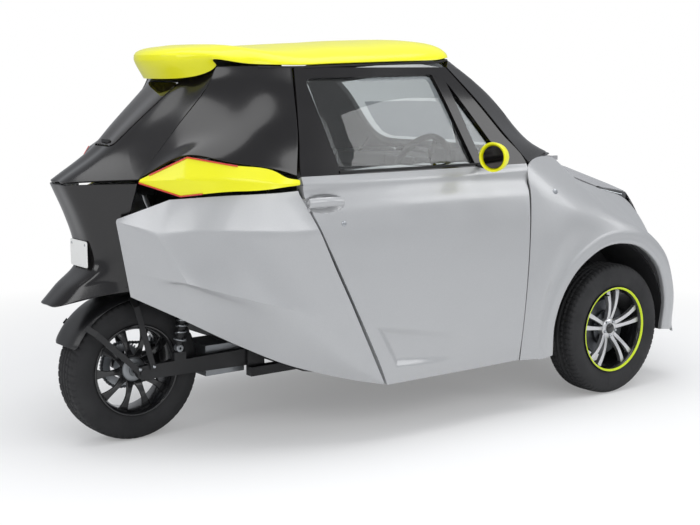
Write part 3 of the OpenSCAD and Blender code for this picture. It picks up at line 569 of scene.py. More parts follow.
# ---- Pieces ---------------------------------------------------------------------------------
@dataclass
class Piece:
    """Collects surfaces into one closed mesh that rides on one body."""
    name: str
    body: str
    finishes: Sequence[Finish]
    bevel: float = 0.0
    bevel_angle: float = 30.0
    points: list = field(default_factory=list)
    faces: list = field(default_factory=list)
    kinds: list = field(default_factory=list)
    used: int = 0

    def grid(self, points: Array, wrap: tuple[bool, bool] = (True, False), finish: int = 0,
             keep: Optional[Array] = None) -> None:
        """Adds a grid's quads.

        Args:
            points: rows by columns by 3.
            wrap: whether the rows and whether the columns close on themselves.
            finish: number of the finish.
            keep: mask of the quads to keep, or None for all.
        """
        rows, columns = points.shape[:2]
        number = self.used + np.arange(rows * columns).reshape(rows, columns)
        r = np.arange(rows if wrap[0] else rows - 1)
        c = np.arange(columns if wrap[1] else columns - 1)
        r1, c1 = (r + 1) % rows, (c + 1) % columns
        quads = np.stack([number[np.ix_(r, c)], number[np.ix_(r1, c)],
                          number[np.ix_(r1, c1)], number[np.ix_(r, c1)]], axis=-1)
        quads = quads[keep] if keep is not None else quads.reshape(-1, 4)
        self._add(points.reshape(-1, 3), quads, finish)

    def _add(self, points: Array, quads: Array, finish: int) -> None:
        """Adds points, and quads that already count from the piece's first point."""
        self.points.append(points)
        self.faces.append(quads)
        self.kinds.append(np.full(len(quads), finish))
        self.used += len(points)

    def shell(self, points: Array, thickness: float, wrap: bool = False, finish: int = 0,
              inside: Optional[int] = None, outward: Optional[Sequence[float]] = None) -> None:
        """Adds a closed wall: the grid, its copy set back along its normals, and the rim.

        Args:
            points: the outer face, rows by columns by 3.
            thickness: of the wall, in metres.
            wrap: whether its rows close on themselves.
            finish: number of the outer face's finish.
            inside: number of the inner face's finish, or None for the same.
            outward: rough direction of the outside, where it isn't away from the car's middle.
        """
        normal = normals_of(points, wrap)
        away = (points.reshape(-1,
                               3).mean(0) - np.array([0, 0, 0.75])) if outward is None else outward
        if (normal.reshape(-1, 3).mean(0) * away).sum() < 0:
            normal = -normal
        back = points - normal * thickness
        first = self.used
        self.grid(points, (wrap, False), finish)
        second = self.used
        self.grid(back, (wrap, False), finish if inside is None else inside)
        rows, columns = points.shape[:2]
        number = np.arange(rows * columns).reshape(rows, columns)
        rims = [(number[:, 0], wrap), (number[:, -1], wrap)]
        if not wrap:
            rims += [(number[0], False), (number[-1], False)]
        for rim, closed in rims:
            ahead = np.roll(rim, -1) if closed else rim[1:]
            here = rim if closed else rim[:-1]
            quads = np.stack([first + here, first + ahead, second + ahead, second + here], axis=-1)
            self._add(np.zeros((0, 3)), quads, finish)

    def slab(self, outline: Array, shift: Array, finish: int = 0) -> None:
        """Adds a flat plate: an outline's fan and its copy moved by shift, with a wall between.

        Args:
            outline: points round the plate, n by 3.
            shift: from one face to the other.
            finish: number of the finish.
        """
        centre = outline.mean(0)
        rings = np.stack([np.broadcast_to(centre, outline.shape), outline, outline + shift,
                          np.broadcast_to(centre + shift, outline.shape)], axis=1)
        self.grid(rings, (True, False), finish)

    def build(self, replaces: Sequence[str] = ()) -> bpy.types.Object:
        """Makes the object, closes its seams and turns its faces outwards.

        Args:
            replaces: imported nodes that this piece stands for.
        Returns:
            The object.
        """
        mesh = bpy.data.meshes.new(self.name)
        points = np.concatenate(self.points)
        faces = np.concatenate(self.faces)
        mesh.from_pydata(points.tolist(), [], faces.tolist())
        mesh.polygons.foreach_set("material_index", np.concatenate(self.kinds).astype(np.int32))
        work = bmesh.new()
        work.from_mesh(mesh)
        bmesh.ops.remove_doubles(work, verts=work.verts, dist=2e-6)
        bmesh.ops.dissolve_degenerate(work, edges=work.edges, dist=1e-7)
        bmesh.ops.recalc_face_normals(work, faces=work.faces)
        work.to_mesh(mesh)
        work.free()
        mesh.polygons.foreach_set("use_smooth", np.ones(len(mesh.polygons), bool))
        piece = bpy.data.objects.new(self.name, mesh)
        bpy.context.collection.objects.link(piece)
        for finish in self.finishes:
            mesh.materials.append(finish.material())
        if self.bevel > 0:
            rim = piece.modifiers.new("rounded_edges", "BEVEL")
            rim.width = self.bevel
            rim.segments = 2
            rim.limit_method = "ANGLE"
            rim.angle_limit = np.radians(self.bevel_angle)
        piece.modifiers.new("even_shading", "WEIGHTED_NORMAL").keep_sharp = True
        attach(piece, self.body)
        if replaces:
            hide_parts(*replaces)
        LOG.info("%s: %d faces on %s", self.name, len(mesh.polygons), self.body)
        return piece


SIDES = {"left": 1, "right": -1}


# ---- Body panels ----------------------------------------------------------------------------
ROOF = np.array([[130, 256, 262, 1434, 1381], [86, 236, 270, 1452, 1454],
                 [253, 330, 368, 1438, 1509],
                 [410, 437, 492, 1434, 1501], [620, 620, 514, 1440, 1513],
                 [900, 900, 516, 1448, 1527],
                 [1150, 1125, 505, 1454, 1535], [1300, 1188, 484, 1461, 1520],
                 [1374, 1212, 466, 1462, 1499]])
BONNET = np.array([[1866, 1046, 1736, 552, 1052], [1990, 1022, 1872, 512, 966],
                   [2200, 970, 2140, 444, 892],
                   [2400, 902, 2330, 400, 862], [2522, 850, 2412, 368, 850]])
BUMPER = np.array([[2548, 716, 2452, 452, 700], [2562, 600, 2478, 492, 600],
                   [2567, 420, 2496, 541, 420],
                   [2545, 215, 2512, 592, 215]])
MASK = np.array([[2520, 842, 2418, 372, 842], [2540, 780, 2436, 392, 800],
                 [2547, 722, 2450, 446, 706]])
SCREEN_ROWS = np.array([[1372, 1488, 1216, 464, 1452, 1180, 500, 1424],
                        [1530, 1352, 1390, 497, 1328, 1286, 556, 1300],
                        [1722, 1170, 1600, 543, 1120, 1402, 603, 1160],
                        [1852, 1052, 1716, 560, 1062, 1500, 646, 1042]])
SCREEN_HOLE = [[-520, 1086], [0, 1070], [520, 1086], [443, 1436], [0, 1466], [-443, 1436]]
FENDER = np.array([[188, 712, 1434, 686, 229], [168, 716, 1452, 699, 480],
                   [148, 719, 1470, 697, 700],
                   [128, 721, 1482, 684, 900], [110, 721, 1496, 650, 1030],
                   [92, 720, 1716, 566, 1048],
                   [74, 717, 1872, 522, 962], [54, 708, 2135, 458, 884], [36, 696, 2405, 400, 800],
                   [18, 676, 2462, 480, 650], [-7, 652, 2512, 600, 205]], float)
QUARTER = [[[-87, 198, 588], [40, 356, 512], [232, 455, 402], [374, 552, 332], [568, 640, 270],
            [724, 684, 233]],
           [[-90, 199, 602], [22, 392, 622], [226, 528, 508], [372, 604, 430], [540, 668, 345],
            [712, 687, 255]],
           [[-106, 199, 690], [16, 440, 659], [205, 588, 597], [330, 637, 560], [448, 664, 528],
            [570, 688, 560]],
           [[-139, 199, 870], [-46, 335, 833], [84, 480, 846], [215, 576, 840], [330, 640, 836],
            [432, 674, 838]],
           [[-137, 203, 880], [2, 345, 954], [146, 484, 970], [240, 554, 976], [310, 594, 980],
            [372, 624, 986]]]
SIDE = [[[-72, 254, 1030], [51, 380, 1114], [175, 490, 1088], [311, 578, 1062], [370, 618, 1040]],
        [[83, 250, 1200], [180, 368, 1200], [262, 468, 1200], [340, 544, 1190], [396, 586, 1180]],
        [[236, 246, 1372], [290, 330, 1372], [338, 402, 1370], [385, 466, 1366], [424, 518, 1362]],
        [[258, 256, 1428], [310, 326, 1430], [352, 386, 1430], [392, 444, 1429], [430, 498, 1427]]]
REAR = [[[-72, 252.5, 1024], [-186, 150, 1018], [-268, 67, 1012], [-273, 0, 1012]],
        [[10, 246.5, 1118], [-45, 150, 1124], [-98, 76, 1122], [-100, 0, 1122]],
        [[84, 244.6, 1200], [40, 160, 1204], [-8, 90, 1204], [-10, 0, 1204]],
        [[238, 240.6, 1374], [216, 170, 1378], [190, 118, 1378], [188, 0, 1378]],
        [[262, 250.6, 1426], [254, 180, 1426], [246, 128, 1426], [244, 0, 1426]]]
HATCH = [[-74, 1134], [74, 1134], [119, 1372], [-119, 1372]]
TAIL = [[[-40, 150, 598], [-150, 120, 590], [-322, 66, 560], [-334, 0, 560]],
        [[-40, 165, 640], [-150, 110, 640], [-262, 67, 620], [-268, 0, 620]],
        [[-50, 182, 700], [-130, 122, 700], [-180, 68, 690], [-184, 0, 690]],
        [[-60, 196, 790], [-130, 130, 790], [-188, 68, 786], [-192, 0, 786]],
        [[-84, 206, 870], [-150, 140, 870], [-214, 67, 866], [-218, 0, 866]],
        [[-78, 252, 1008], [-190, 150, 1004], [-272, 67, 1000], [-277, 0, 1000]]]
WEDGE = [[[-76, 264, 1012], [30, 376, 966], [140, 500, 986], [262, 588, 994], [300, 612, 1000],
          [370, 636, 1008]],
         [[-78, 268, 1019], [32, 404, 1030], [152, 512, 1030], [280, 596, 1018], [312, 616, 1014],
          [371, 637, 1015]],
         [[-72, 266, 1026], [50, 394, 1108], [174, 506, 1080], [300, 586, 1056], [330, 606, 1036],
          [372, 632, 1026]]]
LAMP = [[[2144, 446, 884], [2260, 418, 868], [2412, 372, 846]],
        [[2139, 436.6, 883.4], [2274, 411.2, 845.4], [2418.6, 374.7, 813.4]]]
DOOR = np.array([[231, 730, 1431, 690, 2, 6], [300, 698, 1436, 698, 4, 6],
                 [420, 639, 1446, 704, 8, 6],
                 [560, 570, 1456, 707, 14, 6], [700, 502, 1465, 707, 20, 7],
                 [850, 430, 1472, 702, 26, 10],
                 [960, 385, 1481, 688, 38, 18], [1036, 377, 1490, 652, 22, 6],
                 [1160, 397, 1389, 609, 18, 6],
                 [1300, 418, 1275, 562, 16, 6], [1424, 437, 1171, 518, 17, 14]], float)
WINDOW = [[552, 1048], [474, 1384], [1083, 1396], [1204, 1048]]
QUARTER_LIGHT = [[1252, 1048], [1148, 1368], [1374, 1048]]
ARCH = (1985.0, 287.0, 385.0)
SKIN, WALL, SHUT_GAP, SEAM = 0.008, 0.030, 6.0, 1.6
# Outer radius, width and rim seat radius in metres, and the number of tread blocks round
FRONT_TYRE = (0.287, 0.158, 0.186, 72)
REAR_TYRE = (0.2735, 0.150, 0.176, 60)
MIRROR_SQUASH = 0.92
CHAIN_PITCH, CHAIN_Y = 0.0127, 0.0608


def bowed(rows: Array, gap: float, x_power: float, z_power: float, shares: int = 13) -> Array:
    """Full-width net: y = f w, x = cx + (ex - cx) f^a, z = cz + (ez - cz) f^b, with f from 1 to -1.

    Args:
        rows: centre x, centre z, edge x, edge half-width and edge z, in millimetres.
        gap: taken off the half-width.
        x_power: the power a.
        z_power: the power b.
        shares: values of f from the edge to the middle.
    Returns:
        The net, in millimetres.
    """
    f = np.linspace(1, -1, 2 * shares - 1)[None, :]
    cx, cz, ex, ew, ez = (column[:, None] for column in np.asarray(rows, float).T)
    size = np.abs(f)
    return np.stack([cx + (ex - cx) * size ** x_power, f * (ew - gap),
                     cz + (ez - cz) * size ** z_power], axis=-1)


def roof_net() -> Array:
    """The roof: z = ez + (cz - ez) (1 - f^4)^0.6 across, with f the share of the half-width."""
    f = np.sin(np.linspace(np.pi / 2, -np.pi / 2, 41))[None, :]
    cx, ex, ew, ez, cz = (column[:, None] for column in smooth_rows(ROOF, 8).T)
    size = np.abs(f)
    return car(np.stack([cx + (ex - cx) * size ** 2, f * ew,
                         ez + (cz - ez) * (1 - size ** 4) ** 0.6], axis=-1))


def fender_net() -> Array:
    """The fender, from the rolled arch lip over the flare to the panel's edge, by angle round the arch."""
    angle = np.radians(FENDER[:, 0])
    ring = np.stack([np.cos(angle), 0 * angle, np.sin(angle)], axis=-1)
    centre, across = np.array([ARCH[0], 0, ARCH[1]]), np.array([0, 1.0, 0])
    lip = centre + ARCH[2] * ring + FENDER[:, 1:2] * across
    crown = centre + (ARCH[2] + 46) * ring + (FENDER[:, 1:2] + 2) * across
    edge = FENDER[:, 2:5]
    bulge = 18 * np.abs(np.sin(angle - np.radians(20)))[:, None] * across
    columns = [lip - 22 * across, lip - 3 * across + 1.5 * ring, lip + 9 * ring + 1.5 * across,
               lip + 26 * ring + 2 * across, crown - 0.5 * across,
               crown + 16 * ring - 5 * across, 0.62 * crown + 0.38 * edge + bulge,
               0.28 * crown + 0.72 * edge + 0.8 * bulge, edge]
    return smooth_net(np.stack(columns, axis=1), (8, 6))


def screen_net() -> Array:
    """The windscreen's whole face, door to door."""
    c = np.stack([SCREEN_ROWS[:, 0], 0 * SCREEN_ROWS[:, 0], SCREEN_ROWS[:, 1]],
                 axis=-1).astype(float)
    g, o = SCREEN_ROWS[:, 2:5].astype(float), SCREEN_ROWS[:, 5:8].astype(float)
    wide = c + (g - c) * [0.4, 0.62, 0.38]
    near = c + (g - c) * [0.1, 0.3, 0.1]
    return smooth_net(both_halves(np.stack([o, g, wide, near, c], axis=1)), (12, 8), (), (1, 7))


@dataclass
class BodyShell:
    """The fixed outer panels."""
    body: str = "chassis"

    def build(self) -> None:
        """Makes every fixed panel."""
        self._roof()
        self._screen()
        self._nose()
        self._fenders()
        self._tail()

    def _roof(self) -> None:
        """The roof with its rolled edge and the seal under it."""
        net = roof_net()
        piece = Piece("roof_skin", self.body, [YELLOW, SEAL], 0.0015)
        piece.shell(net, SKIN, outward=(0, 0, 1))
        piece.build(["roof_panel"])
        seal = Piece("roof_seals", self.body, [SEAL])
        for side in (0, -1):
            path = net[18:, side] + [0, 0.006 if side else -0.006, -0.010]
            seal.grid(tube_along(path, 0.005, 8))
        seal.build()

    def _screen(self) -> None:
        """The windscreen and its black surround."""
        net = car(screen_net())
        hole = rounded_loop(np.array(SCREEN_HOLE) / 1000, 0.03, 10, 8)
        cut = net.copy()
        share = np.abs(net[:, :, 1]) / (BONNET[0, 3] / 1000)
        front = AXLE_X + (BONNET[0, 0] + (BONNET[0, 2] - BONNET[0, 0]) * share ** 2
                          - 28 * (0.5 + 2 * share ** 2 * (1 - share ** 2))) / 1000
        rows = np.arange(net.shape[0])[:, None]
        over = (cut[:, :, 0] > front - 0.001) & (rows > net.shape[0] - 9) & (share < 1)
        cut[:, :, 0] = np.where(over, front - 0.001, cut[:, :, 0])
        piece = Piece("windscreen_surround", self.body, [BLACK], 0.002)
        piece.shell(frame_round(cut, hole, (1, 2), 10, 220), WALL, True)
        piece.build(["windscreen_frame"])
        glass = Piece("windscreen_glass", self.body, [GLASS])
        glass.shell(pane_on(net, hole, (1, 2), 14), 0.005, True)
        glass.build(["windscreen"])

    def _nose(self) -> None:
        """Bumper with its open intake, and the black mask."""
        bumper = car(smooth_rows(bowed(BUMPER, SEAM, 2.4, 2, 21), 14))
        intake = rounded_loop(np.array([[-0.33, 0.30], [-0.29, 0.42], [0.29, 0.42], [0.33, 0.30]]),
                              0.02, 12, 6)
        skin = Piece("bumper_skin", self.body, [SILVER], 0.0015)
        skin.shell(frame_round(bumper, intake, (1, 2), 12, 240), SKIN, True)
        skin.build(["front_bumper"])
        mask = car(smooth_rows(bowed(MASK, SEAM, 2.4, 2, 17), 10))
        face = Piece("nose_mask_skin", self.body, [BLACK], 0.0015)
        face.shell(mask, SKIN)
        face.build(["nose_mask"])

    def _fenders(self) -> None:
        """Both fenders with their flared arches."""
        net = car(fender_net())
        for name, side in SIDES.items():
            piece = Piece(f"fender_{name}", self.body, [SILVER], 0.002)
            piece.shell(mirrored(net, side), SKIN, outward=(0, side, 0.3))
            piece.build(["front_fenders"])

    def _tail(self) -> None:
        """Quarters, black upper sides, hatch surround, tail fascia and yellow wedges."""
        quarter = self._trimmed(smooth_net(QUARTER, (12, 12), (2, 3), (1,)))
        side_net = car(smooth_net(SIDE, (10, 10)))
        wedge = car(smooth_net(WEDGE, (6, 10), (1,), (1,)))
        for name, side in SIDES.items():
            skin = Piece(f"quarter_{name}", self.body, [SILVER], 0.0015, 25)
            skin.shell(mirrored(quarter, side), SKIN, outward=(-1, side, 0))
            skin.build(["rear_quarters"])
            upper = Piece(f"upper_side_{name}", self.body, [BLACK], 0.0015)
            upper.shell(mirrored(side_net, side), SKIN, outward=(-1, side, 0))
            upper.build(["rear_side_panels"])
            trim = Piece(f"tail_wedge_{name}", self.body, [YELLOW, RED_LAMP], 0.0012)
            trim.shell(mirrored(wedge, side), 0.009, outward=(-1, side, 0))
            trim.build(["tail_wedges"])
        rear = car(smooth_net(both_halves(np.array(REAR, float)), (12, 8)))
        hole = rounded_loop(np.array(HATCH) / 1000, 0.018, 10, 8)
        surround = Piece("hatch_surround", self.body, [BLACK], 0.0015)
        surround.shell(frame_round(rear, hole, (1, 2), 10, 160), SKIN, True, outward=(-1, 0, 0.5))
        surround.build(["rear_window_surround"])
        tail = car(smooth_net(both_halves(np.array(TAIL, float)), (8, 8), (1,)))
        fascia = Piece("tail_fascia_skin", self.body, [BLACK], 0.002)
        fascia.shell(tail, SKIN, outward=(-1, 0, 0))
        fascia.build(["tail_fascia"])

    @staticmethod
    def _trimmed(net: Array) -> Array:
        """Ends the quarter on the door's shut line, by sliding each row's last points back to it."""
        line_x = np.interp(net[..., 2], [231, 700, 980, 1200], [723, 495, 370, 370])
        start = net[:, :1, 0]
        over = net[:, -1:, 0] - line_x[:, -1:]
        share = np.clip((net[..., 0] - start) / (net[:, -1:, 0] - start), 0, 1)
        moved = net.copy()
        moved[..., 0] -= np.maximum(over, 0) * share ** 3
        return car(moved)


# ---- Doors ----------------------------------------------------------------------------------
def door_net(rows: Array, gap: float = SHUT_GAP / 2, columns: int = 70) -> Array:
    """The door's face: w(u) = mid - rear max(0, 1 - 1.8 u)^2 - front max(0, 1.8 u - 0.8)^2.

    Args:
        rows: z, rear x, front x, middle w, rear turn-in and front turn-in, in millimetres.
        gap: taken off each end.
        columns: points from the rear edge to the front.
    Returns:
        Net of x, w and z, in metres.
    """
    u = np.linspace(0, 1, columns)[None, :]
    z, rear, front, middle_w, turn_rear, turn_front = (column[:, None] for column in rows.T)
    x = rear + gap + (front - rear - 2 * gap) * u
    w = (middle_w - turn_rear * np.maximum(0, 1 - 1.8 * u) ** 2
         - turn_front * np.maximum(0, 1.8 * u - 0.8) ** 2)
    return car(np.stack([x, w, z + 0 * u], axis=-1))


@dataclass
class Door:
    """One door with its window, handle and mirror."""
    name: str
    side: int
    rows: Array = field(default_factory=lambda: smooth_rows(DOOR, 12))

    def build(self) -> None:
        """Makes the door's pieces on its body."""
        self._skin()
        self._window()
        self._mirror()

    def _piece(self, name: str, finishes: Sequence[Finish], bevel: float = 0.0) -> Piece:
        """Starts a piece that rides on this door."""
        return Piece(f"door_{name}_{self.name}", f"door_{self.name}", finishes, bevel)

    def _depth(self, x: Array, z: Array) -> Array:
        """How far the skin lies in, in mm, at places in mm from the rear axle."""
        belt = np.exp(-((z - 1012) / 16.0) ** 2) * 5 - 8 * np.exp(-((z - 966) / 34.0) ** 2)
        fade = smooth_step((x - 600) / 60) * smooth_step((1330 - x) / 160)
        upper = -beyond_line(x, z, (663, 473), (1169, 379))
        rear_edge = beyond_line(x, z, (764, 297), (663, 473))
        floor_edge = beyond_line(x, z, (800, 290), (1299, 256))
        inside = np.minimum(np.minimum(upper, -rear_edge), floor_edge)
        pocket = -14 * smooth_step(inside / 34) * smooth_step((1200 - x) / 420) * fade
        cup = -30 * smooth_step(1.35 - np.hypot((x - 462) / 74, (z - 938) / 30) ** 2)
        return belt + pocket + cup * (z > 880)

    def _skin(self) -> None:
        """The silver lower door, with its belt ridge, pocket and handle cup."""
        rows = self.rows[self.rows[:, 0] <= 1036.5]
        levels = np.linspace(rows[0, 0], rows[-1, 0], 150)
        rows = np.stack([np.interp(levels, rows[:, 0], rows[:, k]) for k in range(6)], axis=1)
        net = door_net(rows, columns=190)
        x, z = (net[..., 0] - AXLE_X) * 1000, net[..., 2] * 1000
        net[..., 1] += np.minimum(self._depth(x, z), 3) / 1000
        skin = self._piece("skin", [SILVER, MOULDED], 0.002)
        skin.shell(mirrored(net, self.side), 0.05, inside=1, outward=(0, self.side, 0))
        skin.build([f"door_{self.name}"])
        flap = self._piece("handle", [SILVER], 0.002)
        u = np.linspace(0, 1, 24)[:, None]
        v = np.linspace(0, 1, 10)[None, :]
        bar = np.stack([392 + 140 * u + 0 * v,
                        697 - 9 * (2 * v - 1) ** 2 - 8 * (2 * u - 1) ** 2 - 22 * (1 - u) ** 3,
                        928 + 36 * v - 5 * (2 * u - 1) ** 2 + 0 * v], axis=-1)
        flap.shell(mirrored(car(bar), self.side), 0.012, outward=(0, self.side, 0))
        flap.build()
        lock = self._piece("lock", [STEEL, DARK_STEEL], 0.0004)
        place = lifted(net, np.array([[AXLE_X + 0.532, 0.862]]), (0, 2))[0] * [1, self.side, 1]
        lock.grid(turned_profile([[0, 0.0022], [0.007, 0.0022], [0.0105, 0.0008], [0.0105, -0.004],
                                  [0, -0.004]],
                                 place, (0, self.side, 0.1), 32))
        lock.build()

    def _window(self) -> None:
        """The black window frame, divider, panes and belt seal."""
        rows = self.rows[self.rows[:, 0] >= 1035.5]
        net = door_net(rows, columns=60)
        hole = np.array([WINDOW[0], WINDOW[1], WINDOW[2], QUARTER_LIGHT[1],
                         QUARTER_LIGHT[2]]) / 1000
        hole[:, 0] += AXLE_X
        loop = rounded_loop(hole, 0.022, 16, 7)
        frame_piece = self._piece("window_frame", [BLACK], 0.0015)
        frame_piece.shell(mirrored(frame_round(net, loop, (0, 2), 9, 200), self.side), 0.028, True,
                          outward=(0, self.side, 0.3))
        frame_piece.build()
        bar = np.array([[[1206, 1046], [1250, 1046]], [[1084, 1394], [1146, 1372]]], float)
        bar = smooth_net(np.concatenate([bar, np.zeros((2, 2, 1))], axis=-1), (14, 4))[...,
                                                                                       :2] / 1000
        bar[..., 0] += AXLE_X
        divider = self._piece("divider", [BLACK], 0.001)
        divider.shell(mirrored(lifted(net, bar, (0, 2)), self.side), 0.024,
                      outward=(0, self.side, 0.3))
        divider.build()
        panes = self._piece("glass", [GLASS])
        for corners in (WINDOW, QUARTER_LIGHT):
            outline = np.array(corners) / 1000
            outline[:, 0] += AXLE_X
            centre = outline.mean(0)
            outline = centre + (outline - centre) * 1.012
            inner = pane_on(net, rounded_loop(outline, 0.02, 14, 6), (0, 2)) - [0, 0.0148, 0]
            panes.shell(mirrored(inner, self.side), 0.005, True, outward=(0, self.side, 0.3))
        panes.build([f"door_glass_{self.name}"])
        seal = self._piece("belt_seal", [SEAL], 0.0008)
        x = np.linspace(0.545, 1.382, 70)
        line = lifted(net, np.stack([AXLE_X + x, 0 * x + 1.0455], axis=-1), (0, 2)) * [1, self.side,
                                                                                       1]
        seal.grid(tube_along(line, 0.0055, 8))
        seal.build()

    def _mirror(self) -> None:
        """The yellow mirror shell, its rim, glass and stalk."""
        head = car([1196, 775, 1082]) * [1, self.side, 1]
        turn = np.radians(12) * self.side
        axes = np.array([[np.cos(turn), -np.sin(turn), 0], [np.sin(turn), np.cos(turn), 0],
                         [0, 0, 1.0]])
        out = axes[0]
        profile = [[0, 0.031], [0.030, 0.028], [0.048, 0.018], [0.058, 0.002], [0.0615, -0.014],
                   [0.0625, -0.024],
                   [0.0605, -0.028], [0.054, -0.027], [0.050, -0.014], [0, -0.012]]
        grid = turned_profile(smooth_rows(profile, 5, (6, 7, 8)), head, out, 56)
        grid[..., 2] = head[2] + (grid[..., 2] - head[2]) * MIRROR_SQUASH
        shell = self._piece("mirror_shell", [YELLOW])
        shell.grid(grid)
        shell.build([f"mirror_{self.name}"])
        glass = self._piece("mirror_glass", [MIRROR], 0.0006)
        pane = turned_profile([[0, -0.016], [0.047, -0.0165], [0.0485, -0.018], [0.047, -0.0205],
                               [0, -0.020]],
                              head, out, 56)
        pane[..., 2] = head[2] + (pane[..., 2] - head[2]) * MIRROR_SQUASH
        glass.grid(pane)
        glass.build()
        foot = car([1222, 648, 1040]) * [1, self.side, 1]
        path = smooth_rows(np.array([foot, (foot * 0.6 + head * 0.4) + [0, 0, -0.016],
                                     head + [0, -0.045 * self.side, -0.02]]), 8)
        arm = self._piece("mirror_stalk", [MOULDED])
        taper = tube_along(path, 0.0105, 16, 0.7)
        arm.grid(np.concatenate([path[None, :1].repeat(16, 0), taper,
                                 path[None, -1:].repeat(16, 0)], axis=1))
        arm.build()


# ---- Wheels ---------------------------------------------------------------------------------
@dataclass
class Tyre:
    """A tyre with tread blocks, as a turned profile whose grooves are pressed in by angle."""
    name: str
    body: str
    centre: Array
    radius: float
    width: float
    rim: float
    blocks: int

    def build(self) -> None:
        """Makes the tyre: r(h, a) = profile(h) - groove(h, a)."""
        half, wall = self.width / 2, self.radius - self.rim
        outer = [[self.rim - 0.002, 0.40 * self.width], [self.rim + 0.010, 0.445 * self.width],
                 [self.rim + 0.26 * wall, half - 0.003], [self.rim + 0.5 * wall, half],
                 [self.rim + 0.74 * wall, half - 0.004],
                 [self.rim + 0.90 * wall, 0.425 * self.width],
                 [self.radius - 0.004, 0.37 * self.width],
                 [self.radius - 0.0008, 0.25 * self.width],
                 [self.radius, 0.0]]
        half_profile = smooth_rows(outer, 9)
        profile = np.concatenate([half_profile, half_profile[-2::-1] * [1, -1]])
        inner = [[self.rim - 0.002, -0.40 * self.width], [self.rim - 0.004, 0.0],
                 [self.rim - 0.002, 0.40 * self.width]]
        profile = np.concatenate([profile, smooth_rows(inner, 6)[1:-1]])
        segments = self.blocks * 6
        grid = turned_profile(profile, self.centre, (0, 1, 0), segments)
        share = profile[None, :, 1] / self.width
        crown = smooth_step((profile[None, :, 0] - self.rim - 0.78 * wall) / (0.10 * wall))
        turn = np.arange(segments)[:, None] / 6 + 1.1 * np.abs(share)
        cross = (np.abs((turn % 1) - 0.5) > 0.40) & (np.abs(share) > 0.09)
        ring = np.min(np.abs(np.abs(share)[..., None] - np.array([0.07, 0.225])), axis=-1) < 0.018
        depth = np.where(ring, 0.0065, np.where(cross, 0.005, 0.0)) * crown
        lettering = 0.0006 * (np.abs(share) > 0.46) * (np.sin(turn * np.pi / 4) > 0.2)
        radial = grid - self.centre
        radial[..., 1] = 0
        radial /= np.linalg.norm(radial, axis=-1, keepdims=True)
        grid = grid - radial * depth[..., None]
        grid[..., 1] -= np.sign(share) * lettering
        piece = Piece(self.name, self.body, [TYRE])
        piece.grid(grid, (True, True))
        piece.build([self.name.replace("_rubber", "")])


